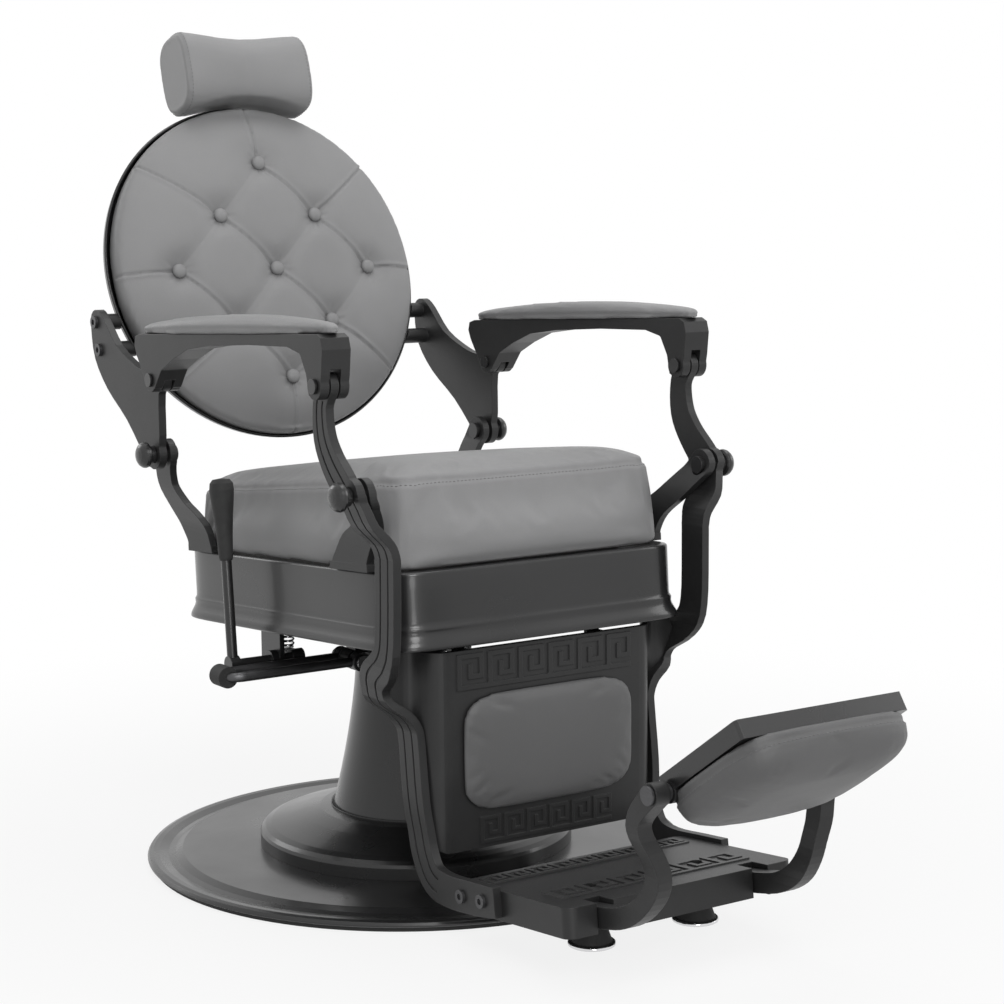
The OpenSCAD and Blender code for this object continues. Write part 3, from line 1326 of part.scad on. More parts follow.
module back_cushion() {
  n = 52;
  side_r = back_r - shell_t - gap / 2;
  ring_shares = [0.985, 0.955, 0.91, 0.86, 0.8, 0.73, 0.65, 0.6, 0.54, 0.456, 0.38, 0.3, 0.23, 0.16, 0.1, 0.05, 0.012];
  foot = concat(
    [for (q = shell_side(shell_t + gap / 2)) [q[0], q[1] + gap / 4]],
    [[side_r, shell_front], [side_r + sheet / 2, back_edge_h * 0.75]]
  );
  color(leather) at_back() loft(concat(
    [for (q = foot) [for (i = [0 : n - 1]) [q[0] * cos(360 * i / n), q[0] * sin(360 * i / n), q[1]]]],
    [
      for (s = ring_shares) [
        for (i = [0 : n - 1])
          let (x = back_r * s * cos(360 * i / n), y = back_r * s * sin(360 * i / n))
          [x, y, back_height(x, y) - back_edge_h * 0.16 * (s > 0.97 ? 1 : 0)]
      ]
    ]
  ));
}
module back_buttons() {
  color(leather) at_back() for (t = tufts) {
    x = t[0] * tuft_x;
    y = t[1] * tuft_y;
    translate([x, y, back_height(x, y) + gap * 1.4]) rotate_extrude() polygon([
      [0, 0], [button_r, button_h * 0.8], [button_r * 0.9, button_h * 1.1], [button_r * 0.55, button_h * 1.4],
      [0, button_h * 1.5]
    ]);
  }
}
module back_bracket() {
  outline = [
    for (q = smooth(concat(back_bracket_shares, [back_bracket_shares[0]]), 3))
      [q[0], q[1]] * leg_drop
  ];
  boss_r = knuckle_pin_r * 1.5;
  lug = [arm_rear_y - rear_knuckle_y, arm_rear_z - rear_knuckle_z];
  color(metal) difference() {
    union() {
      at_rear_knuckle() side_slab(link_x - link_t / 2, link_x + link_t / 2) filleted() {
        polygon(outline);
        circle(r = knuckle_eye_r);
        translate(lug) circle(r = arm_eye_r);
      }
      difference() {
        at_back() for (q = back_bolt_places)
          translate([0, q[0], q[1]]) x_cylinder(back_r * 0.8, link_x - link_t / 2, boss_r);
        at_back() translate([0, 0, -shell_back]) cylinder(h = shell_back * 2, r = back_r, $fn = 128);
      }
    }
    at_rear_knuckle() x_cylinder(link_x - link_t, link_x + link_t, knuckle_pin_r + fit);
    translate([0, arm_rear_y, arm_rear_z]) x_cylinder(link_x - link_t, link_x + link_t, arm_pin_r);
    back_bolt_holes();
  }
}
module back_bracket_right() {
  right_side() back_bracket();
}
module back_bracket_left() {
  back_bracket();
}
module back_bolts() {
  bolt_r = knuckle_pin_r * 0.6;
  head = bolt_r;
  color(satin) both_sides() at_back() for (q = back_bolt_places) {
    tip = sqrt(pow(back_r - shell_t * 0.8, 2) - pow(abs(q[0]) - bolt_r, 2));
    translate([0, q[0], q[1]]) {
      x_cylinder(tip, link_x + link_t / 2 + head * 0.3, bolt_r);
      difference() {
        x_cylinder(link_x + link_t / 2, link_x + link_t / 2 + head, bolt_r * 2);
        translate([link_x + link_t / 2 + head * 0.4, 0, 0]) rotate([0, 90, 0])
          cylinder(h = head, r = bolt_r, $fn = 6);
      }
    }
  }
}
// Headrest carrier: socket on the shell, flat post, yoke and cushion
post_n = -shell_back - post_t * 1.3;
module headrest_socket() {
  v0 = back_r * 0.3;
  v1 = back_r * 0.72;
  wall = sheet * 1.5;
  foot = back_r * 0.14;
  wide = post_w / 2 + wall;
  deep = -post_n + post_t / 2 + wall;
  color(metal) at_back() difference() {
    union() {
      translate([-wide, v0, -deep]) cube([wide * 2, v1 - v0, deep - shell_back]);
      translate([-wide, foot, -shell_back - wall * 0.8]) cube([wide * 2, v1 - foot, wall * 0.8]);
      translate([0, (v0 + v1) / 2, -deep - wall]) cylinder(h = wall * 2, r = wall * 2.4);
    }
    translate([-post_w / 2 - fit, v0 - overrun, post_n - post_t / 2 - fit])
      cube([post_w + fit * 2, v1 - v0 + overrun * 2, post_t + fit * 2]);
    translate([0, (v0 + v1) / 2, -deep - wall * 2]) cylinder(h = wall * 4, r = headrest_pin_r * 0.8);
    for (v = [socket_screws[0]]) {
      translate([0, v, -shell_back - wall]) cylinder(h = wall * 2, r = headrest_pin_r * 0.6);
    }
  }
}
module headrest_knob() {
  wall = sheet * 1.5;
  v = back_r * 0.51;
  deep = -post_n + post_t / 2 + wall * 2;
  stem = deep + post_n - post_t / 2 - fit;
  color(rubber) at_back() translate([0, v, -deep]) {
    translate([0, 0, 0]) cylinder(h = stem, r = headrest_pin_r * 0.8);
    mirror([0, 0, 1]) rotate_extrude() polygon([
      [0, 0], [knob_r * 0.6, 0], [knob_r * 0.7, knob_r * 0.3], [knob_r, knob_r * 0.5], [knob_r, knob_r * 1.1],
      [knob_r * 0.8, knob_r * 1.3], [0, knob_r * 1.35]
    ]);
  }
}
module headrest_post() {
  foot = back_r * 0.12;
  path = [
    [foot, post_n], [back_r * 0.6, post_n], [back_r * 0.85, post_n], [headrest_hinge_up * 0.92, post_n],
    [headrest_hinge_up, headrest_hinge_front]
  ];
  eye_r = headrest_pin_r * 1.8;
  color(satin) at_back() difference() {
    side_slab(-post_w / 2, post_w / 2) filleted() {
      polygon(band(wide([for (q = smooth(path, 3)) q], post_t), 0));
      translate([headrest_hinge_up, headrest_hinge_front]) circle(r = eye_r);
    }
    translate([0, headrest_hinge_up, headrest_hinge_front])
      x_cylinder(-post_w, post_w, headrest_pin_r + fit);
  }
}
module headrest_yoke() {
  face = headrest_front - headrest_half_t;
  plate_w = headrest_half_w * 1.1;
  plate_h = headrest_half_h * 1.1;
  cheek = sheet * 1.6;
  inner = post_w / 2 + gap / 2;
  color(satin) at_back() translate([0, headrest_hinge_up, 0]) {
    translate([-plate_w / 2, -plate_h / 2, face - sheet]) cube([plate_w, plate_h, sheet]);
    both_sides() {
      side_slab(inner, inner + cheek) {
        translate([0, headrest_hinge_front]) circle(r = headrest_pin_r * 2);
        translate([-headrest_pin_r * 2, headrest_hinge_front])
          square([headrest_pin_r * 4, face - headrest_hinge_front - sheet / 2]);
      }
    }
    translate([0, 0, headrest_hinge_front]) x_cylinder(-inner - cheek * 1.5, inner + cheek * 1.5, headrest_pin_r);
  }
}
// The headrest nests over the rim of the back
module headrest_cushion() {
  n = 40;
  depth_shares = [-1, -0.98, -0.86, -0.6, -0.2, 0.2, 0.6, 0.86, 0.97, 1];
  size_shares = [0.55, 0.7, 0.88, 0.97, 1, 1, 0.97, 0.88, 0.7, 0.45];
  rim = back_r + gap * 2;
  color(leather) at_back() translate([0, headrest_up, headrest_front + gap / 4]) loft([
    for (k = [0 : len(depth_shares) - 1]) [
      for (
        p = square_ring(
          headrest_half_w - (1 - size_shares[k]) * headrest_half_h * 0.6,
          headrest_half_h - (1 - size_shares[k]) * headrest_half_h * 0.8, 3.4,
          headrest_half_t * depth_shares[k], n
        )
      )
        [p[0], max(p[1], sqrt(rim * rim - p[0] * p[0]) - headrest_up), p[2]]
    ]
  ]);
}

// Armrests: castings with forked ears, pads on top
module armrest() {
  outline = [for (q = arm_shares) q * arm_span];
  slot_x = link_x - ear_gap / 2;
  ear_reach = arm_eye_r + sheet;
  color(metal) difference() {
    at_arm() difference() {
      side_slab(link_x - arm_w / 2, link_x + arm_w / 2) filleted() {
        polygon(outline);
        circle(r = arm_eye_r);
        translate([-arm_span, 0]) circle(r = arm_eye_r);
      }
      side_slab(slot_x, slot_x + ear_gap) {
        translate([-ear_reach - sheet, -ear_reach * 2]) square([ear_reach * 3.4, ear_reach * 3]);
        translate([-arm_span - ear_reach - sheet * 2, -ear_reach * 2])
          square([ear_reach * 2.6 + sheet * 4, ear_reach * 3]);
      }
      side_slab(slot_x - arm_w, slot_x + arm_w) translate([-arm_span, 0]) {
        translate([-arm_slot, -arm_pin_r - arm_play]) square([arm_slot * 2, (arm_pin_r + arm_play) * 2]);
        for (s = [-1, 1]) translate([s * arm_slot, 0]) circle(r = arm_pin_r + arm_play);
      }
    }
    translate([0, arm_rear_y, arm_rear_z]) x_cylinder(link_x - arm_w, link_x + arm_w, arm_pin_r + fit);
  }
}
// An arm pad is thickest and widest at its middle
module arm_pad() {
  half_l = arm_span * 0.556;
  mid = -arm_span * 0.470;
  section_shares = [[0.97, 0], [1, 0.2], [1, 0.55], [0.93, 0.85], [0.75, 0.97], [0.4, 1]];
  full_h = arm_pad_h + arm_pad_crown;
  half_w = arm_pad_w / 2;
  color(leather) at_arm() translate([link_x, mid, arm_top_h + gap / 4]) loft([
    for (q = section_shares) [
      for (p = square_ring(half_w * q[0], half_l - half_w * (1 - q[0]), 3.4, full_h * q[1], 48))
        [p[0] * (1 - 0.22 * pow(p[1] / half_l, 2)), p[1], p[2] * (1 - 0.5 * pow(p[1] / half_l, 2))]
    ]
  ]);
}
module armrest_right() {
  right_side() armrest();
}
module armrest_left() {
  armrest();
}
module arm_pad_right() {
  right_side() arm_pad();
}
module arm_pad_left() {
  arm_pad();
}

base_plate();
base_edge_ring();
base_cover();
base_collar();
column_cover();
swivel_bearing();
pump_cylinder();
pump_head();
pedal_pin();
pump_pedal();
pedal_tread();
lift_ram();
mount_hub();
seat_frame();
seat_board();
seat_shroud();
seat_cushion();
seat_bracket_front_right();
seat_bracket_front_left();
seat_bracket_rear_right();
seat_bracket_rear_left();
front_knuckle_bolts();
rear_knuckle_bolts();
bracket_screws();
release_bracket();
release_spring();
lock_tube();
leg_stops();
recline_lever();
lever_grip();
lock_rod();
leg_side_right();
leg_side_left();
leg_panel();
calf_pad();
footplate();
foot_arm_right();
foot_arm_left();
rubber_feet();
leg_bolts();
front_arm_pins();
flip_pins();
flip_pan();
flip_pad();
back_shell();
back_cushion();
back_buttons();
back_bracket_right();
back_bracket_left();
back_bolts();
headrest_socket();
headrest_knob();
headrest_post();
headrest_yoke();
headrest_cushion();
armrest_right();
armrest_left();
arm_pad_right();
arm_pad_left();
rear_arm_pins();
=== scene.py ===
import json
import math

import bpy
import numpy as np
from bpy.props import (
    BoolProperty, FloatProperty, FloatVectorProperty, IntProperty, PointerProperty,
)
from mathutils import Matrix, Vector
from mathutils.bvhtree import BVHTree


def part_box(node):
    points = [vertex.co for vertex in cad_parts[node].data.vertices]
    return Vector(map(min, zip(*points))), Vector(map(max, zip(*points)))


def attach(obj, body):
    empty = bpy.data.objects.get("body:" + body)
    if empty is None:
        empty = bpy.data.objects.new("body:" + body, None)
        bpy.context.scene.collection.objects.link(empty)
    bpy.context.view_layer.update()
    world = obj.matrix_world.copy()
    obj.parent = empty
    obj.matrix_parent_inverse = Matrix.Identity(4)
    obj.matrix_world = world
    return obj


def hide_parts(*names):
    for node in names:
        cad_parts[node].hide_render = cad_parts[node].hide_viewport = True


bl_info = {
    "name": "Barber Chair",
    "version": (1, 0, 0),
    "blender": (4, 5, 0),
    "location": "View3D > Sidebar > Barber Chair",
    "description": "Leather, trim, finishes and stage of a reclining barber chair on its packed frame",
    "category": "Object",
}

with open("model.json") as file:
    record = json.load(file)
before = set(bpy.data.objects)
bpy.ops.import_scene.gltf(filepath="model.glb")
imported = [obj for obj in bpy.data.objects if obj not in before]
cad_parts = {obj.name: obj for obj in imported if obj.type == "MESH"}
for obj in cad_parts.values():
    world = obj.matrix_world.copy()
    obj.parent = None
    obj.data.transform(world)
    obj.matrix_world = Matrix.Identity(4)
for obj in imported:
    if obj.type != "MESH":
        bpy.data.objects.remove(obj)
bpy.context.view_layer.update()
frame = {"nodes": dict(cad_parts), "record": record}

# Places of the parts that carry leather, in the chair's own frame
SEAT_TOP = Vector((0, 0, 0.393))
SEAT_TILT = -3.7
SEAT_FORWARD = 0.023
SEAT_POWER = 11.0
BACK_CENTRE = Vector((0, 0.386, 0.726))
BACK_TURN = 73.0
ARM_HINGE = Vector((0, 0.180, 0.603))
ARM_RISE = -2.334
ARM_SPAN = 0.41735
ARM_MIDDLE = 0.251
ARM_TOP = 0.05725
FLIP_HINGE = Vector((0, -0.656, 0.232))
FLIP_SLOPE = -34.4
PANEL_FACE = -0.294

# Share of the leather's colour that is left on the leg rest: painted shade, which makes the low leg rest
# darker than the other cushions
LEG_PAINTED_SHADE = 0.46


def placed(place, turn, shift=Vector((0, 0, 0))):
    """Matrix of a frame that is turned about X at a place and then shifted in itself."""
    return Matrix.Translation(place) @ Matrix.Rotation(math.radians(turn), 4, "X") @ Matrix.Translation(shift)


SEAT = placed(SEAT_TOP, SEAT_TILT, Vector((0, -SEAT_FORWARD, 0)))
BACK = placed(BACK_CENTRE, BACK_TURN)
ARM = placed(ARM_HINGE, ARM_RISE)
FLIP = placed(FLIP_HINGE, FLIP_SLOPE)


# Settings


def reflectance(name, description, default):
    """A setting for the colour of a finish."""
    return FloatVectorProperty(
        name=name, description=description, subtype="COLOR", size=3, min=0, max=1, default=default,
    )


def measure(name, description, low, high, default):
    """A setting for a length between two limits."""
    return FloatProperty(
        name=name, description=description, unit="LENGTH", min=low, max=high, default=default,
    )


class ChairColours(bpy.types.PropertyGroup):
    """Colours of the chair's finishes, as plain reflectances."""

    leather: reflectance("Leather", "Mid grey upholstery leather", (0.215, 0.215, 0.217))
    enamel: reflectance("Enamel", "Semi-gloss paint of base, column and shroud", (0.013, 0.013, 0.0133))
    casting: reflectance("Casting", "Satin powder coat of the castings", (0.016, 0.016, 0.0162))
    satin: reflectance("Satin steel", "Blackened steel of rails, bolts and posts", (0.090, 0.090, 0.093))
    chrome: reflectance("Chrome", "Bright plated steel", (0.72, 0.72, 0.73))
    rubber: reflectance("Rubber", "Grips, treads and feet", (0.022, 0.022, 0.022))
    wood: reflectance("Plywood", "Stained board under the seat cushion", (0.018, 0.017, 0.016))


class LeatherSizes(bpy.types.PropertyGroup):
    """Sizes of the upholstery that a maker would change."""

    grain: measure("Grain", "Width of one cell of the leather grain", 0.0005, 0.004, 0.0014)
    swell: measure("Swell", "Most that the stuffing pushes the seat cushion's skin out", 0, 0.03, 0.009)
    seam_depth: measure("Seam depth", "How far a seam is drawn in", 0, 0.004, 0.0016)
    stitch: measure("Stitch", "Distance between two stitches", 0.003, 0.01, 0.0052)
    tuft_depth: measure("Tuft depth", "How deep the buttons draw the back cushion in", 0.005, 0.03, 0.017)
    button_radius: measure("Button radius", "Radius of a covered button", 0.006, 0.014, 0.0098)
    rounds: IntProperty(
        name="Frames", description="Frames of the stuffing simulation", min=5, max=40, default=20,
    )


class StageSettings(bpy.types.PropertyGroup):
    """Camera, lamps and floor."""

    camera_place: FloatVectorProperty(
        name="Camera", description="Place of the camera", subtype="TRANSLATION", unit="LENGTH", size=3,
        default=(-1.4544, -2.3604, 0.8094),
    )
    camera_yaw: FloatProperty(
        name="Yaw", description="Heading of the camera from straight behind the chair", subtype="ANGLE",
        default=math.radians(33.98),
    )
    camera_dip: FloatProperty(
        name="Dip", description="How far the camera looks down", subtype="ANGLE", default=math.radians(7.477),
    )
    camera_roll: FloatProperty(
        name="Roll", description="Turn of the camera about its own line of sight", subtype="ANGLE",
        default=math.radians(-0.513),
    )
    camera_lens: FloatProperty(
        name="Lens", description="Focal length in millimetres on a 36 mm wide sensor", min=20, max=200,
        default=79.853,
    )
    lamp_power: FloatProperty(
        name="Lamps", description="Power of the main soft lamp", subtype="POWER", unit="POWER",
        min=0, max=1000, default=66,
    )
    sky_strength: FloatProperty(
        name="Sky", description="Strength of the even light from all round", min=0, max=2, default=0.42,
    )
    floor_radius: measure("Floor", "Radius of the pale floor", 1, 30, 12)
    keep_shadow: BoolProperty(
        name="Floor shadow", description="The pale floor keeps the chair's own shadow", default=True,
    )


def colours():
    return bpy.context.scene.barber_chair_colours


def sizes():
    return bpy.context.scene.barber_chair_sizes


# Finishes


def added(tree, kind, inputs=(), **attributes):
    """A new node of a tree, with its inputs set or linked."""
    made = tree.nodes.new(kind)
    for name, value in attributes.items():
        setattr(made, name, value)
    for name, value in dict(inputs).items():
        if isinstance(value, bpy.types.NodeSocket):
            tree.links.new(value, made.inputs[name])
        else:
            made.inputs[name].default_value = value
    return made


class Finish:
    """A procedural material that is put together node by node."""

    def __init__(self, name, roughness, metallic=0.0, **sockets):
        self.material = bpy.data.materials.new(name)
        self.material.use_nodes = True
        self.tree = self.material.node_tree
        self.shader = self.tree.nodes["Principled BSDF"]
        self.shader.inputs["Roughness"].default_value = roughness
        self.shader.inputs["Metallic"].default_value = metallic
        for socket, value in sockets.items():
            self.shader.inputs[socket.replace("_", " ")].default_value = value
        place = self.tree.nodes.new("ShaderNodeTexCoord")
        self.place = place.outputs["Object"]
        self.normal = None

    def link(self, source, target):
        self.tree.links.new(source, target)

    def node(self, kind, inputs=(), **attributes):
        return added(self.tree, kind, inputs, **attributes)

    def stretched(self, factors):
        """The object's own coordinates, drawn out along its axes."""
        return self.node("ShaderNodeMapping", {"Vector": self.place, "Scale": factors}).outputs["Vector"]

    def noise(self, scale, detail=2.0, distortion=0.0, place=None):
        made = self.node("ShaderNodeTexNoise", {
            "Vector": place or self.place, "Scale": scale, "Detail": detail, "Distortion": distortion,
        })
        return made.outputs["Fac"]

    def cells(self, scale):
        """Distance to the nearest border between the cells of a grain."""
        made = self.node(
            "ShaderNodeTexVoronoi", {"Vector": self.place, "Scale": scale}, feature="DISTANCE_TO_EDGE"
        )
        return made.outputs["Distance"]

    def ranged(self, value, low, high, out_low=0.0, out_high=1.0):
        made = self.node("ShaderNodeMapRange", {
            "Value": value, "From Min": low, "From Max": high, "To Min": out_low, "To Max": out_high,
        })
        return made.outputs["Result"]

    def spread(self, noise, out_low=0.0, out_high=1.0):
        """The values that a noise mostly takes, stretched over a range."""
        return self.ranged(noise, 0.3, 0.7, out_low, out_high)

    def maths(self, operation, first, second):
        return self.node("ShaderNodeMath", {0: first, 1: second}, operation=operation).outputs[0]

    def tint(self, colour, light, dark, value):
        """Base colour that runs between two shades of one colour."""
        made = self.node("ShaderNodeValToRGB", {"Fac": value})
        ramp = made.color_ramp
        ramp.elements[0].color = [c * dark for c in colour] + [1]
        ramp.elements[1].color = [c * light for c in colour] + [1]
        self.link(made.outputs["Color"], self.shader.inputs["Base Color"])

    def rough(self, value):
        self.link(value, self.shader.inputs["Roughness"])

    def bump(self, height, strength, distance):
        made = self.node("ShaderNodeBump", {"Height": height, "Strength": strength, "Distance": distance})
        if self.normal is not None:
            self.link(self.normal, made.inputs["Normal"])
        self.normal = made.outputs["Normal"]

    def rounded(self, radius):
        """The surface's normal as if its edges were rounded off."""
        return self.node("ShaderNodeBevel", {"Radius": radius}, samples=4).outputs["Normal"]

    def soft_edges(self, radius):
        self.normal = self.rounded(radius)

    def edge_share(self, radius):
        """How far a spot is on an edge, from 0 on a flat to 1."""
        plain = self.node("ShaderNodeNewGeometry").outputs["Normal"]
        inputs = {0: self.rounded(radius), 1: plain}
        made = self.node("ShaderNodeVectorMath", inputs, operation="DOT_PRODUCT")
        return self.ranged(made.outputs["Value"], 0.98, 0.75)

    def done(self):
        if self.normal is not None:
            self.link(self.normal, self.shader.inputs["Normal"])
        return self.material


def leather_finish(name="Leather", shade=1.0):
    """Smooth upholstery leather: fine cells, soft creases, a low sheen and a slightly uneven grey."""
    finish = Finish(name, 0.5, Specular_IOR_Level=0.34, Sheen_Weight=0.06, Sheen_Roughness=0.45)
    per_cell = 1 / sizes().grain
    cells = finish.cells(per_cell)
    pores = finish.noise(per_cell * 2.3, 3.0)
    creases = finish.noise(38.0, 5.0, 0.6)
    patches = finish.noise(7.0, 3.0)
    grain = finish.ranged(cells, 0.0, 0.22)
    # A shade below 1 darkens the whole colour, as painted shade
    colour = [c * shade for c in colours().leather]
    wear = finish.spread(patches, 0.55, 1.0)
    finish.tint(colour, 1.08, 0.78, finish.maths("MULTIPLY", wear, finish.ranged(grain, 0, 1, 0.82, 1)))
    dull = finish.spread(patches, 0.43, 0.50)
    finish.rough(finish.maths("ADD", dull, finish.spread(pores, 0.0, 0.06)))
    finish.bump(creases, 0.10, 0.002)
    finish.bump(grain, 0.32, 0.00022)
    finish.bump(pores, 0.15, 0.0001)
    return finish.done()


def thread_finish():
    """Waxed thread: darker than the leather, twisted, a little glossy."""
    finish = Finish("Thread", 0.55, Sheen_Weight=0.2)
    twist = finish.noise(2600.0, 2.0)
    finish.tint([c * 0.5 for c in colours().leather], 1.1, 0.7, finish.spread(twist))
    finish.bump(twist, 0.4, 0.0001)
    return finish.done()


def enamel_finish():
    """Semi-gloss paint on spun and pressed sheet: faint orange peel, dust in the gloss, softened edges."""
    finish = Finish("Enamel", 0.3, Specular_IOR_Level=0.42, Coat_Weight=0.2, Coat_Roughness=0.10)
    peel = finish.noise(420.0, 1.0)
    smears = finish.noise(9.0, 4.0, 0.4)
    finish.soft_edges(0.0012)
    spots = finish.ranged(finish.noise(60.0, 4.0), 0.45, 0.7)
    # Spotted edges are lightened: partly rubbed wear, partly a painted edge sheen
    edge_wear_and_sheen = finish.maths("MULTIPLY", finish.edge_share(0.0010), spots)
    dust_and_edge_sheen = finish.maths("ADD", edge_wear_and_sheen, finish.ranged(smears, 0.3, 0.8, 0.0, 0.22))
    finish.tint(colours().enamel, 1.9, 0.9, dust_and_edge_sheen)
    finish.rough(finish.ranged(smears, 0.25, 0.75, 0.24, 0.36))
    finish.bump(peel, 0.10, 0.0003)
    return finish.done()


def casting_finish():
    """Satin powder coat on cast aluminium: fine texture, slow waves from the mould, edges lightened as rubbed
    wear and a painted sheen.
    """
    finish = Finish("Casting", 0.42, Specular_IOR_Level=0.36)
    powder = finish.noise(1100.0, 3.0)
    mould = finish.noise(30.0, 3.0)
    finish.soft_edges(0.0014)
    spots = finish.ranged(finish.noise(45.0, 5.0), 0.42, 0.72)
    # Spotted edges are lightened: partly rubbed wear, partly a painted edge sheen
    edge_wear_and_sheen = finish.maths("MULTIPLY", finish.edge_share(0.0012), spots)
    mould_tone_and_edge_sheen = finish.maths("ADD", edge_wear_and_sheen, finish.ranged(mould, 0.3, 0.8, 0.0, 0.2))
    finish.tint(colours().casting, 2.1, 0.85, mould_tone_and_edge_sheen)
    finish.rough(finish.spread(powder, 0.36, 0.48))
    finish.bump(mould, 0.12, 0.0012)
    finish.bump(powder, 0.22, 0.00012)
    return finish.done()


def satin_finish():
    """Blackened steel, drawn and brushed along its length."""
    finish = Finish("Satin_steel", 0.38, 0.85, Specular_IOR_Level=0.5)
    lines = finish.noise(900.0, 2.0, place=finish.stretched((1.0, 0.08, 1.0)))
    blotches = finish.noise(24.0, 4.0)
    finish.soft_edges(0.0006)
    finish.tint(colours().satin, 1.5, 0.75, finish.maths("MULTIPLY", lines, blotches))
    finish.rough(finish.spread(blotches, 0.30, 0.44))
    finish.bump(lines, 0.12, 0.0002)
    return finish.done()


def chrome_finish():
    """Bright plating with hairline wiping marks."""
    finish = Finish("Chrome", 0.1, 1.0)
    hairlines = finish.noise(1500.0, 2.0, place=finish.stretched((0.05, 1.0, 1.0)))
    breath = finish.noise(35.0, 3.0)
    finish.soft_edges(0.0004)
    finish.tint(colours().chrome, 1.05, 0.92, breath)
    finish.rough(finish.spread(breath, 0.07, 0.16))
    finish.bump(hairlines, 0.04, 0.0001)
    return finish.done()


def rubber_finish():
    """Moulded rubber: matt, with a fine spark texture and pale dust on it."""
    finish = Finish("Rubber", 0.72, Specular_IOR_Level=0.35)
    spark = finish.noise(1300.0, 3.0)
    dust = finish.noise(50.0, 4.0)
    finish.soft_edges(0.0008)
    finish.tint(colours().rubber, 1.6, 0.85, finish.ranged(dust, 0.45, 0.8))
    finish.rough(finish.spread(dust, 0.62, 0.78))
    finish.bump(spark, 0.3, 0.00015)
    return finish.done()


def wood_finish():
    """Dark stained plywood with a long grain."""
    finish = Finish("Plywood", 0.6, Specular_IOR_Level=0.3)
    veins = finish.noise(160.0, 6.0, 0.8, place=finish.stretched((1.0, 0.07, 1.0)))
    pores = finish.noise(900.0, 2.0, place=finish.stretched((1.0, 0.12, 1.0)))
    finish.tint(colours().wood, 1.5, 0.6, veins)
    finish.rough(finish.spread(pores, 0.52, 0.68))
    finish.bump(veins, 0.2, 0.0004)
    finish.bump(pores, 0.3, 0.0002)
    return finish.done()


FINISHES = {
    "leather": leather_finish, "enamel": enamel_finish, "casting": casting_finish, "satin": satin_finish,
    "chrome": chrome_finish, "rubber": rubber_finish, "wood": wood_finish, "thread": thread_finish,
    # The leg rest's leather is a copy darkened by painted shade
    "leg_leather": lambda: leather_finish("Leg_leather", LEG_PAINTED_SHADE),
}
# Materials already made, one for each slot
made_finishes = {}


def finish_of(slot):
    """The one material of a slot, made when it is first asked for."""
    if slot not in made_finishes:
        made_finishes[slot] = FINISHES[slot]()
    return made_finishes[slot]


# Mesh tools


def linked_object(name, data):
    """A new object in the scene."""
    obj = bpy.data.objects.new(name, data)
    bpy.context.scene.collection.objects.link(obj)
    return obj


def piece(name, vertices, faces, body, slot, smooth=True):
    """A new mesh object that rides on a body and wears the finish of a slot."""
    mesh = bpy.data.meshes.new(name)
    mesh.from_pydata([tuple(v) for v in vertices], [], [tuple(f) for f in faces])
    mesh.update()
    obj = linked_object(name, mesh)
    mesh.materials.append(finish_of(slot))
    mesh.polygons.foreach_set("use_smooth", [smooth] * len(mesh.polygons))
    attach(obj, body)
    return obj


def moved_points(matrix, points):
    """Points that are given in a frame of their own, in the chair's frame."""
    turn = np.array(matrix.to_3x3())
    return np.asarray(points, float) @ turn.T + np.array(matrix.translation)


def squircle(half_x, half_y, power, count, power_above=None):
    """Rounded square outline, its points evenly far apart, counter-clockwise from +X.

    The half above the X axis can have corners of its own power.
    """
    angle = np.linspace(0, 2 * math.pi, 4001)
    c, s = np.cos(angle), np.sin(angle)
    if power_above is not None:
        power = np.where(s > 0, power_above, power)
    x = half_x * np.sign(c) * np.abs(c) ** (2 / power)
    y = half_y * np.sign(s) * np.abs(s) ** (2 / power)
    way = np.concatenate([[0], np.cumsum(np.hypot(np.diff(x), np.diff(y)))])
    stops = np.linspace(0, way[-1], count, endpoint=False)
    return np.column_stack([np.interp(stops, way, x), np.interp(stops, way, y)])


def turns(count):
    """Angles of evenly spread points round a circle."""
    return [2 * math.pi * k / count for k in range(count)]


def circle(middle, side, up, radius, count):
    """Points of a circle in the plane of two directions."""
    return [middle + side * (radius * math.cos(a)) + up * (radius * math.sin(a)) for a in turns(count)]


def ring_skin(rings, closed=False):
    """Vertices and faces of a skin over rings of as many points each, with lids unless it is closed."""
    vertices = [p for ring in rings for p in ring]
    count, length = len(rings), len(rings[0])
    faces = []
    for j in range(count if closed else count - 1):
        for i in range(length):
            following = (i + 1) % length
            here, above = j * length, (j + 1) % count * length
            faces.append((here + i, here + following, above + following, above + i))
    if not closed:
        faces.append(tuple(range(length - 1, -1, -1)))
        faces.append(tuple((count - 1) * length + i for i in range(length)))
    return vertices, faces


def joined(skins):
    """Vertices and faces of several skins as those of one mesh."""
    vertices, faces = [], []
    for points, polygons in skins:
        first = len(vertices)
        vertices += points
        faces += [tuple(i + first for i in face) for face in polygons]
    return vertices, faces


def applied(obj):
    """Takes what the modifiers make as the piece's own mesh."""
    graph = bpy.context.evaluated_depsgraph_get()
    graph.update()
    mesh = bpy.data.meshes.new_from_object(obj.evaluated_get(graph))
    obj.modifiers.clear()
    old = obj.data
    obj.data = mesh
    bpy.data.meshes.remove(old)
    mesh.polygons.foreach_set("use_smooth", [True] * len(mesh.polygons))


def points_of(obj):
    """Vertices of a piece, which lies in the chair's frame, as an array."""
    flat = np.empty(len(obj.data.vertices) * 3)
    obj.data.vertices.foreach_get("co", flat)
    return flat.reshape(-1, 3)


def normals_of(obj):
    flat = np.empty(len(obj.data.vertices) * 3)
    obj.data.vertices.foreach_get("normal", flat)
    return flat.reshape(-1, 3)


def set_points(obj, points):
    obj.data.vertices.foreach_set("co", np.asarray(points, float).ravel())
    obj.data.update()


def pushed(obj, out):
    """Moves each point of a piece out along its normal."""
    set_points(obj, points_of(obj) + normals_of(obj) * out[:, None])


def bell(distance, width):
    """1 at no distance, falling off softly over the width."""
    return np.exp(-((distance / width) ** 2))


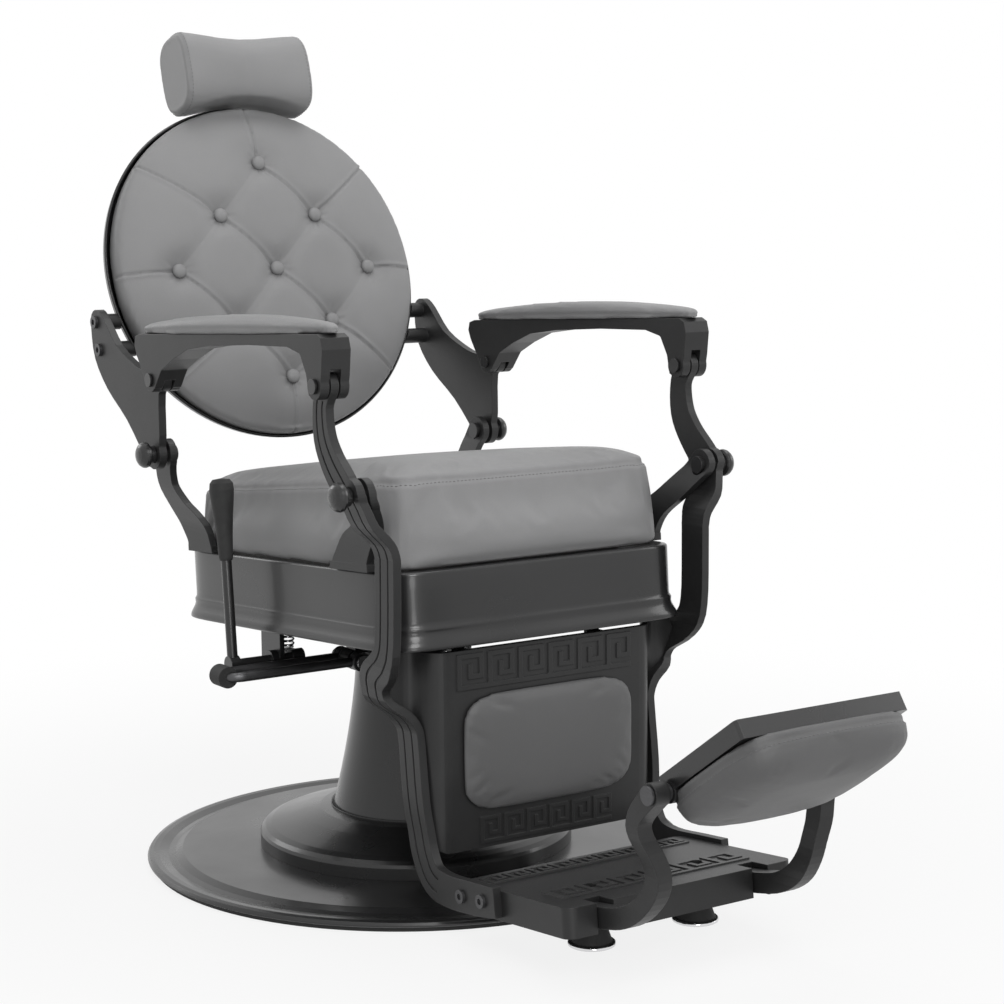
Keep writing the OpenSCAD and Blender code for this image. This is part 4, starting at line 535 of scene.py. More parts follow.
def blown_up(obj, at, pressure, held, most):
    """Fills a skin by a cloth simulation under pressure, in which no point moves further than most."""
    start = points_of(obj)
    group = obj.vertex_groups.new(name="Held")
    for index, weight in enumerate(held(moved_points(at.inverted(), start))):
        if weight > 0:
            group.add([index], float(weight), "REPLACE")
    cloth = obj.modifiers.new("Stuffing", "CLOTH")
    settings = cloth.settings
    settings.quality = 5
    settings.mass = 0.3
    settings.tension_stiffness = 15
    settings.compression_stiffness = 15
    settings.shear_stiffness = 5
    settings.bending_stiffness = 0.8
    settings.effector_weights.gravity = 0
    settings.use_pressure = True
    settings.uniform_pressure_force = pressure
    settings.vertex_group_mass = "Held"
    cloth.collision_settings.use_collision = False
    last = sizes().rounds
    cloth.point_cache.frame_start = 1
    cloth.point_cache.frame_end = last
    for number in range(1, last + 1):
        bpy.context.scene.frame_set(number)
    applied(obj)
    bpy.context.scene.frame_set(1)
    obj.vertex_groups.clear()
    shift = points_of(obj) - start
    far = np.linalg.norm(shift, axis=1)
    # The swelling levels off towards the most and never passes it
    share = most * np.tanh(far / most) / np.maximum(far, 1e-9)
    set_points(obj, start + shift * share[:, None])


def stuffed(obj, at, voxel, pressure, held, cap=None):
    """Gives a leather skin small even faces, fills it, and subdivides it once.

    held takes the points in the piece's own frame and gives each one's hold, from 0 for free skin to 1 for
    skin that is nailed down. The cap on the swelling is the Swell setting if it is left out.
    """
    skin = obj.modifiers.new("Skin", "REMESH")
    skin.mode = "VOXEL"
    skin.voxel_size = voxel
    applied(obj)
    blown_up(obj, at, pressure, held, sizes().swell if cap is None else cap)
    rounder = obj.modifiers.new("Rounder", "SUBSURF")
    rounder.levels = 1
    rounder.render_levels = 1
    applied(obj)


def nailed_below(height):
    """The hold of a skin that is nailed down below a height and free above it."""
    return lambda local: np.where(local[:, 2] < height, 1.0, 0.0)


def line_distance(points, path):
    """Distance of each point from a path of points."""
    best = np.full(len(points), 1e9)
    for start, end in zip(path[:-1], path[1:]):
        way = end - start
        length = max(float(way @ way), 1e-12)
        share = np.clip((points - start) @ way / length, 0, 1)
        gap = points - start - share[:, None] * way
        best = np.minimum(best, np.einsum("ij,ij->i", gap, gap))
    return np.sqrt(best)


def sewn(obj, path, depth, width):
    """Draws a seam in along a path on the piece, and lifts the leather a little beside it."""
    beside, lift = width * 2.1, 0.35
    far = line_distance(points_of(obj), path)
    pushed(obj, -depth * (bell(far, width) - bell(far - beside, width) * lift))


def surface_of(obj):
    faces = [tuple(p.vertices) for p in obj.data.polygons]
    return BVHTree.FromPolygons([tuple(p) for p in points_of(obj)], faces)


def seam_on(surface, at, ring):
    """A closed path over a surface, nearest to a ring that is given in a frame of its own."""
    path = [surface.find_nearest(Vector(p))[0] for p in moved_points(at, ring)]
    return np.array(path + path[:1])


def even_path(path, step):
    """The same path with its points a fixed step apart."""
    lengths = np.linalg.norm(np.diff(path, axis=0), axis=1)
    way = np.concatenate([[0], np.cumsum(lengths)])
    stops = np.arange(step / 2, way[-1], step)
    return np.column_stack([np.interp(stops, way, path[:, k]) for k in range(3)])


def heading(path, index):
    """The way from the point before to the point after one of a path's points."""
    return Vector(path[min(index + 1, len(path) - 1)] - path[max(index - 1, 0)])


# Radius of the sewing thread, how far a stitch's middle stands out, and how deep its ends sink in
THREAD_RADIUS = 0.00045
STITCH_RISE = 0.00035
STITCH_SINK = 0.0001


def stitch_row(name, surface, path, body):
    """Stitches of thread along a path that is drawn onto a surface, each one a small bent bead."""
    pitch = sizes().stitch
    half = pitch * 0.36
    centres = even_path(path, pitch)
    stitches = []
    for index, centre in enumerate(centres):
        spot, normal, _, _ = surface.find_nearest(Vector(centre))
        ahead = heading(centres, index)
        ahead = (ahead - normal * ahead.dot(normal)).normalized()
        across = normal.cross(ahead)
        rings = []
        for share in (-1, -0.5, 0, 0.5, 1):
            radius = THREAD_RADIUS * math.sqrt(max(1 - share ** 4, 0.02))
            rise = STITCH_RISE * (1 - share ** 2) - STITCH_SINK
            rings.append(circle(spot + ahead * (half * share) + normal * rise, across, normal, radius, 6))
        stitches.append(ring_skin(rings))
    piece(name, *joined(stitches), body, "thread")


def wire_rings(path, radius, around):
    """Rings of a round wire along a path that starts out level."""
    side = heading(path, 0).normalized().cross(Vector((0, 0, 1))).normalized()
    rings = []
    for index, middle in enumerate(path):
        ahead = heading(path, index).normalized()
        side = (side - ahead * side.dot(ahead)).normalized()
        rings.append(circle(Vector(middle), side, ahead.cross(side), radius, around))
    return rings


class ChairStep:
    """What every step of the build shares."""

    bl_options = {"REGISTER", "UNDO"}

    def execute(self, context):
        self.build(context)
        return {"FINISHED"}


# Seat


class BARBER_OT_seat_cushion(ChairStep, bpy.types.Operator):
    """Boxed seat cushion: crowned top, soft corners, a seam round its upper edge."""

    bl_idname = "barber_chair.seat_cushion"
    bl_label = "Seat cushion"

    def build(self, context):
        half_w, half_d, side_h, crown, low = 0.1965, 0.2560, 0.0977, 0.007, 0.0008
        front_swell, round_power, nailed = 0.125, 3, 0.012
        # Shares of the outline and levels: 1 is the boxing's upper edge, crown_level the top's middle
        crown_level = 1.34
        section = [
            (0.990, 0), (0.996, 0.10), (0.998, 0.3), (0.998, 0.6), (0.992, 0.82), (0.978, 0.94), (0.955, 1.0),
            (0.88, 1.04), (0.74, 1.16), (0.5, 1.28), (0.22, crown_level),
        ]

        def thickness(y):
            """The cushion is thicker towards its front."""
            return 1 - front_swell * y / half_d

        rings = []
        for share, level in section:
            height = side_h * level if level <= 1 else side_h + (level - 1) / (crown_level - 1) * crown
            power = round_power + (SEAT_POWER - round_power) * share ** 4
            outline = squircle(half_w * share, half_d * share, power, 180)
            rings.append(moved_points(SEAT, [(x, y, low + height * thickness(y)) for x, y in outline]))
        cushion = piece("seat_cushion_leather", *ring_skin(rings), "seat", "leather")

        def held(local):
            foot = np.clip(1 - (local[:, 2] - low) / nailed, 0, 1)
            return np.where(foot > 0.4, 1.0, foot)

        stuffed(cushion, SEAT, voxel=0.006, pressure=4.0, held=held)
        outline = squircle(half_w, half_d, SEAT_POWER, 260)
        seam = [(x, y, low + side_h * 0.95 * thickness(y)) for x, y in outline]
        path = seam_on(surface_of(cushion), SEAT, seam)
        sewn(cushion, path, depth=sizes().seam_depth, width=0.0032)
        # Fine gathers run from the seam down the boxing
        local = moved_points(SEAT.inverted(), points_of(cushion))
        around = np.arctan2(local[:, 1] / half_d, local[:, 0] / half_w)
        top = side_h * 0.88 * thickness(local[:, 1])
        near = bell(local[:, 2] - low - top, 0.016)
        ripple = np.sin(around * 46) * 0.5 + np.sin(around * 73 + 1.3) * 0.3
        pushed(cushion, ripple * near * 0.00035)
        stitch_drop = np.array([0, 0, -0.0045])
        stitch_row("seat_stitches", surface_of(cushion), path + stitch_drop, "seat")
        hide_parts("seat_cushion")


class BARBER_OT_seat_shroud(ChairStep, bpy.types.Operator):
    """Pressed sheet shroud under the cushion: rolled top edge, bead and flared lip."""

    bl_idname = "barber_chair.seat_shroud"
    bl_label = "Seat shroud"

    def build(self, context):
        half_w, half_d = 0.2015, 0.270
        # Steps outward and up from the outline, round the sheet's section
        outer = [
            (-0.0040, 0.0), (-0.0016, -0.0004), (-0.0004, -0.0016), (0.0, -0.0040), (0.0, -0.020),
            (0.0, -0.040), (0.0, -0.0560), (0.0002, -0.0600), (0.0012, -0.0622), (0.0020, -0.0640),
            (0.0018, -0.0660), (0.0016, -0.0690), (0.0026, -0.0730), (0.0048, -0.0780), (0.0064, -0.0820),
            (0.0070, -0.0852), (0.0068, -0.0872), (0.0056, -0.0880), (0.0044, -0.0874), (0.0038, -0.0852),
        ]
        inner = [
            (0.0030, -0.0800), (-0.0004, -0.0730), (-0.0016, -0.0690), (-0.0014, -0.0640),
            (-0.0030, -0.0560), (-0.0030, -0.020), (-0.0034, -0.0042), (-0.0060, -0.0030),
            (-0.018, -0.0030), (-0.018, 0.0), (-0.012, 0.0),
        ]
        rings = []
        for out, z in outer + inner:
            outline = squircle(half_w + out, half_d + out, SEAT_POWER, 240)
            rings.append(moved_points(SEAT, [(x, y, z) for x, y in outline]))
        vertices, faces = ring_skin(rings, closed=True)
        shroud = piece("seat_shroud_sheet", vertices, [f[::-1] for f in faces], "seat", "enamel")
        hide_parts("seat_shroud")


class BARBER_OT_release_spring(ChairStep, bpy.types.Operator):
    """Round-wire spring that holds the recline lever up."""

    bl_idname = "barber_chair.release_spring"
    bl_label = "Release spring"

    def build(self, context):
        low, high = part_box("release_spring")
        middle = (low + high) / 2
        wire = 0.0014
        coil = (high.x - low.x) / 2 - wire
        windings, per_winding = 6, 28
        count = windings * per_winding
        path = []
        for k in range(count + 1):
            angle = 2 * math.pi * k / per_winding
            z = low.z + wire + (high.z - low.z - 2 * wire) * k / count
            path.append((middle.x + coil * math.cos(angle), middle.y + coil * math.sin(angle), z))
        rings = wire_rings(np.array(path), radius=wire, around=10)
        spring = piece("release_spring_wire", *ring_skin(rings), "seat", "chrome")
        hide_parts("release_spring")


# Back


# Half the distance between two buttons of a row or a column, and how far they stand below the middle
TUFT_STEP = Vector((0.0725, 0.075))
TUFT_DROP = 0.006
# Places of the nine buttons in these steps, the pairs of them that a pleat joins, and the directions of
# the pleats that run from a button out to the rim
TUFTS = [(0, 2), (-1, 1), (1, 1), (-2, 0), (0, 0), (2, 0), (-1, -1), (1, -1), (0, -2)]
PLEATS = [
    (0, 1), (0, 2), (1, 3), (1, 4), (2, 4), (2, 5), (3, 6), (4, 6), (4, 7), (5, 7), (6, 8), (7, 8),
]
EDGE_PLEATS = [
    (0, (0, 1)), (1, (-0.8, 0.6)), (2, (0.8, 0.6)), (3, (-1, 0)), (5, (1, 0)), (6, (-0.8, -0.6)),
    (7, (0.8, -0.6)), (8, (0, -1)),
]
BACK_RADIUS = 0.234
TUFT_PLACES = [np.array([t[0] * TUFT_STEP.x, t[1] * TUFT_STEP.y - TUFT_DROP]) for t in TUFTS]
# Height of the face at its rim, its rise to the middle, how wide a button's dip and a pleat's fold are,
# and how deep a fold is
FACE_RIM = 0.020
FACE_RISE = 0.036
DIP_WIDTH = 0.024
FOLD_WIDTH = 0.012
FOLD_DEPTH = 0.0045
# Most that the stuffing lifts the face, by which it deepens the dips
BACK_SWELL = 0.006


def pleat_lines():
    """Ends of every pleat on the back, whether its fold is sharp, and whether it runs out to the rim."""
    lines = []
    for a, b in PLEATS:
        start, end = TUFT_PLACES[a], TUFT_PLACES[b]
        slope = (end[0] - start[0]) * (end[1] - start[1])
        lines.append((start, end, slope < 0, False))
    for a, way in EDGE_PLEATS:
        start = TUFT_PLACES[a]
        end = start + np.array(way) * BACK_RADIUS
        lines.append((start, end, True, True))
    return lines


def flat_distance(points, start, end):
    """Signed distance across a line on the back, and the share of the way along it."""
    way = end - start
    length = float(np.hypot(*way))
    unit = way / length
    offset = points - start
    along = np.clip(offset @ unit, 0, length)
    gap = offset - along[:, None] * unit
    side = np.sign(offset @ np.array([-unit[1], unit[0]]))
    return np.hypot(gap[:, 0], gap[:, 1]) * side, along / length


def tuft_distance(points):
    """Distance of each point of the back to the nearest button."""
    return np.min([np.hypot(*(points - place).T) for place in TUFT_PLACES], axis=0)


def pleat_distance(points):
    """Distance of each point of the back to the nearest pleat."""
    gaps = [flat_distance(points, start, end)[0] for start, end, _, _ in pleat_lines()]
    return np.min(np.abs(gaps), axis=0)


def back_height(points, tuft_depth):
    """Height of the tufted face over the plane of the shell's middle."""
    share = np.minimum(1, np.hypot(points[:, 0], points[:, 1]) / (BACK_RADIUS * 0.99))
    height = FACE_RIM + FACE_RISE * (1 - share ** 4)
    dip = (tuft_depth - BACK_SWELL) * bell(tuft_distance(points), DIP_WIDTH)
    fold = np.minimum(1, 1.2 - share) * FOLD_DEPTH * bell(pleat_distance(points), FOLD_WIDTH)
    return height - fold - dip


def disc_grid(radius, count):
    """Evenly spread points of a disc and its square faces, from a square grid that is drawn round."""
    line = np.linspace(-1, 1, count)
    u, v = np.meshgrid(line, line)
    bigger = np.maximum(np.abs(u), np.abs(v))
    # Even angles along each side of the square keep the cells alike
    eighth = math.pi / 4
    sideways = np.where(u >= 0, 0, math.pi) + v / np.maximum(np.abs(u), 1e-9) * np.sign(u) * eighth
    upright = np.where(v >= 0, 1, -1) * math.pi / 2 - u / np.maximum(np.abs(v), 1e-9) * np.sign(v) * eighth
    angle = np.where(np.abs(u) >= np.abs(v), sideways, upright)
    x, y = bigger * radius * np.cos(angle), bigger * radius * np.sin(angle)
    points = np.column_stack([x.ravel(), y.ravel()])
    faces = [
        (j * count + i, j * count + i + 1, (j + 1) * count + i + 1, (j + 1) * count + i)
        for j in range(count - 1) for i in range(count - 1)
    ]
    rim = list(range(count))
    rim += [j * count + count - 1 for j in range(1, count)]
    rim += [(count - 1) * count + i for i in range(count - 2, -1, -1)]
    rim += [j * count for j in range(count - 2, 0, -1)]
    return points, faces, rim


class BARBER_OT_back_cushion(ChairStep, bpy.types.Operator):
    """Round tufted cushion: nine deep buttons in diamonds, folded pleats between them and out to the rim."""

    bl_idname = "barber_chair.back_cushion"
    bl_label = "Back cushion"

    def build(self, context):
        face_r, tall = 0.2185, 1.02
        points, faces, rim = disc_grid(face_r, 120)
        points[:, 1] *= tall
        heights = back_height(points, sizes().tuft_depth)
        vertices = [(x, y, z) for (x, y), z in zip(points, heights)]
        # The skin turns over the rim and goes down inside the shell
        ring = rim
        turned_in = [
            (0.2218, 0.0256), (0.2242, 0.0215), (0.2250, 0.0150), (0.2250, 0.0080), (0.2240, 0.0),
            (0.2190, -0.0062), (0.2112, -0.0125), (0.1970, -0.0192), (0.1665, -0.0248),
        ]
        for radius, level in turned_in:
            first = len(vertices)
            for index in rim:
                x, y = points[index] / face_r * radius
                vertices.append((x, y, level))
            new = list(range(first, first + len(rim)))
            for i in range(len(rim)):
                following = (i + 1) % len(rim)
                faces.append((ring[i], new[i], new[following], ring[following]))
            ring = new
        faces.append(tuple(ring))
        cushion = piece("back_cushion_leather", moved_points(BACK, vertices), faces, "back", "leather")
        stuffed(cushion, BACK, voxel=0.0045, pressure=3.0, held=self.held, cap=BACK_SWELL)
        self.fold(cushion)
        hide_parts("back_cushion")

    def held(self, local):
        """The skin is nailed down inside the shell and under the buttons, and sewn along the pleats."""
        tucked, under_button, pleat_hold, pleat_width = 0.019, 0.0095, 0.8, 0.005
        flat = local[:, :2]
        face = local[:, 2] > 0
        hold = np.where(face, pleat_hold * bell(pleat_distance(flat), pleat_width), 0)
        hold[face & (tuft_distance(flat) < under_button)] = 1
        hold[local[:, 2] < tucked] = 1
        return np.where(hold > 0.05, hold, 0)

    def fold(self, cushion):
        """Sharp folded pleats, one lip over the other, and puckers round the buttons."""
        crease_depth, crease_width = 0.0026, 0.0016
        lip_height, lip_width, lip_place = 0.0013, 0.0026, 0.0036
        pucker_height, pucker_width, pucker_place = 0.00045, 0.007, 0.013
        local = moved_points(BACK.inverted(), points_of(cushion))
        flat = local[:, :2]
        front = local[:, 2] > 0.012
        out = np.zeros(len(local))
        for start, end, sharp, edge in pleat_lines():
            far, along = flat_distance(flat, start, end)
            fade = 1 - along ** 2 * 0.75 if edge else 1 - 0.35 * np.sin(along * math.pi)
            fade = fade * (1.0 if sharp else 0.3)
            lip = bell(far - lip_place, lip_width)
            out += np.where(front, fade * (lip * lip_height - bell(far, crease_width) * crease_depth), 0)
        for place in TUFT_PLACES:
            gap = flat - place
            far = np.hypot(gap[:, 0], gap[:, 1])
            angle = np.arctan2(gap[:, 1], gap[:, 0])
            pucker = np.cos(angle * 9 + place[0] * 40) + 0.6 * np.cos(angle * 14 + place[1] * 55)
            out += np.where(front, pucker * bell(far - pucker_place, pucker_width) * pucker_height, 0)
        pushed(cushion, out)


class BARBER_OT_back_buttons(ChairStep, bpy.types.Operator):
    """Nine covered buttons, each a leather dome that is gathered under its edge."""

    bl_idname = "barber_chair.back_buttons"
    bl_label = "Back buttons"

    def build(self, context):
        radius, dome, gathering, lift = sizes().button_radius, 0.78, 0.012, 0.0032
        heights = back_height(np.array(TUFT_PLACES), sizes().tuft_depth)
        # Shares of the radius outward and of the dome's height up
        profile = [
            (0.62, -0.30), (0.86, -0.16), (0.97, 0.06), (1.0, 0.24), (0.97, 0.42), (0.88, 0.60), (0.72, 0.75),
            (0.52, 0.86), (0.30, 0.93), (0.12, 0.955),
        ]
        skins = []
        for number, (place, height) in enumerate(zip(TUFT_PLACES, heights)):
            at = BACK @ Matrix.Translation(Vector((place[0], place[1], height + lift)))
            rings = []
            for share, level in profile:
                ring = []
                for angle in turns(40):
                    gather = 1 + gathering * math.sin(angle * 13 + number) * max(0, 1 - abs(level) * 2.2)
                    reach = share * radius * gather
                    ring.append((reach * math.cos(angle), reach * math.sin(angle), level * radius * dome))
                rings.append(moved_points(at, ring))
            skins.append(ring_skin(rings))
        buttons = piece("back_buttons_leather", *joined(skins), "back", "leather")
        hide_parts("back_buttons")


class BARBER_OT_headrest(ChairStep, bpy.types.Operator):
    """Headrest pillow: waisted between two flat ends with a sewn edge."""

    bl_idname = "barber_chair.headrest_cushion"
    bl_label = "Headrest"

    def build(self, context):
        half_w, half_h, half_t, power = 0.0960, 0.0555, 0.0430, 3.0
        waisting, narrowing = 0.13, 0.05
        middle = Vector((0, 0.276, 0.0215))
        rim = BACK_RADIUS + 0.0025
        at = BACK @ Matrix.Translation(middle)

        def floor(x):
            """Height of the back's rim, which the pillow's underside follows."""
            return np.sqrt(rim ** 2 - x ** 2) - middle.y

        rings = []
        stops = [-1, -0.995, -0.97, -0.9, -0.75, -0.55, -0.3, 0, 0.3, 0.55, 0.75, 0.9, 0.97, 0.995, 1]
        for stop in stops:
            waist = 1 - waisting * math.cos(stop * math.pi / 2) ** 2
            edge = 1 - narrowing * max(0, (abs(stop) - 0.9) / 0.1) ** 2
            outline = squircle(half_h * waist * edge, half_t * (1 - 0.6 * (1 - waist)) * edge, power, 96)
            x = stop * half_w
            rings.append(moved_points(at, [(x, max(v, floor(x)), n) for v, n in outline]))
        pillow = piece("headrest_leather", *ring_skin(rings), "headrest", "leather")

        def held(local):
            ends = np.clip((np.abs(local[:, 0]) - half_w * 0.93) / (half_w * 0.05), 0, 1) * 0.6
            behind = np.where(local[:, 2] < -half_t * 0.9, 1.0, 0.0)
            under = np.where(local[:, 1] < floor(local[:, 0]) + 0.006, 0.9, 0.0)
            return np.maximum(np.maximum(ends, behind), under)

        stuffed(pillow, at, voxel=0.0045, pressure=4.0, held=held, cap=0.004)
        surface = surface_of(pillow)
        near_end, stitch_line = 0.985, 0.94
        for number, side in enumerate((-1, 1)):
            seam = squircle(half_h * near_end, half_t * near_end, power, 120)
            path = seam_on(surface, at, [(side * half_w * near_end, v, n) for v, n in seam])
            sewn(pillow, path, depth=sizes().seam_depth * 0.8, width=0.0026)
            inner = [(side * half_w * stitch_line, v, n) for v, n in squircle(half_h, half_t, power, 120)]
            inner.append(inner[0])
            stitch_row(f"headrest_stitches_{number}", surface, moved_points(at, inner), "headrest")
        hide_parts("headrest_cushion")


# Armrests and legs


class BARBER_OT_arm_pads(ChairStep, bpy.types.Operator):
    """Slim padded tops of the two armrests."""

    bl_idname = "barber_chair.arm_pads"
    bl_label = "Arm pads"

    def build(self, context):
        half_w, half_l, height, power = 0.0245, ARM_SPAN * 0.556 + 0.004, 0.021, 3.4
        section = [
            (0.965, 0), (0.985, 0.12), (0.995, 0.35), (0.985, 0.58), (0.93, 0.80), (0.76, 0.94), (0.42, 1),
        ]

        def tapered(outline, z):
            """A level of the pad, which is widest and thickest at its middle."""
            shares = [(y / half_l) ** 2 for _, y in outline]
            return [(x * (1 - 0.22 * s), y, z * (1 - 0.5 * s)) for (x, y), s in zip(outline, shares)]

        for side, number in ((-1, "right"), (1, "left")):
            place = Vector((side * ARM_MIDDLE, -ARM_SPAN * 0.470 - 0.004, ARM_TOP + 0.0002))
            at = ARM @ Matrix.Translation(place)
            rings = []
            for share, level in section:
                outline = squircle(half_w * share, half_l - half_w * (1 - share), power, 150)
                rings.append(moved_points(at, tapered(outline, height * level)))
            pad = piece(f"arm_pad_{number}_leather", *ring_skin(rings), f"armrest_{number}", "leather")
            stuffed(pad, at, voxel=0.004, pressure=4.0, held=nailed_below(0.0035), cap=0.0025)
            seam = tapered(squircle(half_w, half_l, power, 200), height * 0.30)
            sewn(pad, seam_on(surface_of(pad), at, seam), depth=0.0009, width=0.0018)
            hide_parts(f"arm_pad_{number}")


class BARBER_OT_calf_pad(ChairStep, bpy.types.Operator):
    """Leather pad in the front panel, against which the calves rest."""

    bl_idname = "barber_chair.calf_pad"
    bl_label = "Calf pad"

    def build(self, context):
        half_w, half_h, depth = 0.1200, 0.0696, 0.0112
        at = placed(Vector((0, PANEL_FACE, 0.1975)), 90)
        section = [
            (0.985, 0.0), (0.995, 0.22), (0.985, 0.55), (0.94, 0.80), (0.84, 0.93), (0.6, 0.99), (0.25, 1),
        ]
        rings = []
        for share, level in section:
            outline = squircle(half_w * share, half_h * (share + share ** 2) / 2, 5, 150)
            rings.append(moved_points(at, [(x, y, depth * level) for x, y in outline]))
        # The calf pad wears the leather darkened by painted shade
        pad = piece("calf_pad_leather", *ring_skin(rings), "leg_frame", "leg_leather")
        stuffed(pad, at, voxel=0.004, pressure=4.0, held=nailed_below(0.003), cap=0.0018)
        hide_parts("calf_pad")


class BARBER_OT_flip_pad(ChairStep, bpy.types.Operator):
    """Rounded leather cushion on the flip rest, thick towards its free end."""

    bl_idname = "barber_chair.flip_pad"
    bl_label = "Flip pad"

    def build(self, context):
        half_w, height, low = 0.1105, 0.0485, 0.0018
        tail, tip = 0.0340, 0.1510
        section = [
            (0.97, 0), (0.992, 0.08), (0.995, 0.28), (0.98, 0.5), (0.935, 0.68), (0.84, 0.82), (0.66, 0.93),
            (0.4, 0.98), (0.15, 1),
        ]
        at = FLIP @ Matrix.Rotation(math.pi, 4, "Y")

        def outline(share, level, count):
            """A level of the pad, rounder towards the pivot and squarer at the free end."""
            drawn = (1 - share) * half_w
            middle, half = (tail - tip) / 2, (tail + tip) / 2 - drawn
            z = low + height * level
            return [(x, middle + y, z) for x, y in squircle(half_w * share, half, 5.0, count, 3.6)]

        rings = [moved_points(at, outline(share, level, 150)) for share, level in section]
        # The flip pad wears the leather darkened by painted shade
        pad = piece("flip_pad_leather", *ring_skin(rings), "flip_rest", "leg_leather")
        stuffed(pad, at, voxel=0.0045, pressure=4.0, held=nailed_below(low + 0.005), cap=0.002)
        path = seam_on(surface_of(pad), at, outline(1, 0.20, 200))
        sewn(pad, path, depth=sizes().seam_depth * 0.7, width=0.0026)
        row = moved_points(at, outline(1, 0.27, 200))
        stitch_row("flip_pad_stitches", surface_of(pad), row, "flip_rest")
        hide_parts("flip_pad")


class BARBER_OT_foot_rims(ChairStep, bpy.types.Operator):
    """Bright plated rings round the rubber feet of the footplate."""

    bl_idname = "barber_chair.foot_rims"
    bl_label = "Foot rims"

    def build(self, context):
        low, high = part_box("rubber_feet")
        radius, proud = 0.025, 0.0006
        # Shares of the radius outward, and heights
        profile = [
            (0.90, 0.0002), (0.99, 0.0), (1.045, 0.0008), (1.06, 0.0022), (1.045, 0.0038), (1.00, 0.0046),
            (0.97, 0.0040), (0.96, 0.0020),
        ]
        skins = []
        for side in (-1, 1):
            place = Vector((side * (high.x - radius), (low.y + high.y) / 2, low.z - proud))
            rings = []
            for share, z in profile:
                r = radius * share
                ring = [(r * math.cos(a), r * math.sin(a), z) for a in turns(72)]
                rings.append(moved_points(Matrix.Translation(place), ring))
            skins.append(ring_skin(rings, closed=True))
        piece("foot_rims_plated", *joined(skins), "leg_frame", "chrome")


# Frame finishes and stage


WHITE = (1, 1, 1, 1)


class BARBER_OT_frame_finishes(ChairStep, bpy.types.Operator):
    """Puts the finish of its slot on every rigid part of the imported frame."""

    bl_idname = "barber_chair.frame_finishes"
    bl_label = "Frame finishes"

    def build(self, context):
        for part in frame["record"]["subparts"]:
            obj = frame["nodes"][part["node"]]
            material = finish_of(part["material_slot"])
            if not obj.material_slots:
                raise RuntimeError(f"{obj.name} has no material slot")
            for slot in obj.material_slots:
                slot.material = material


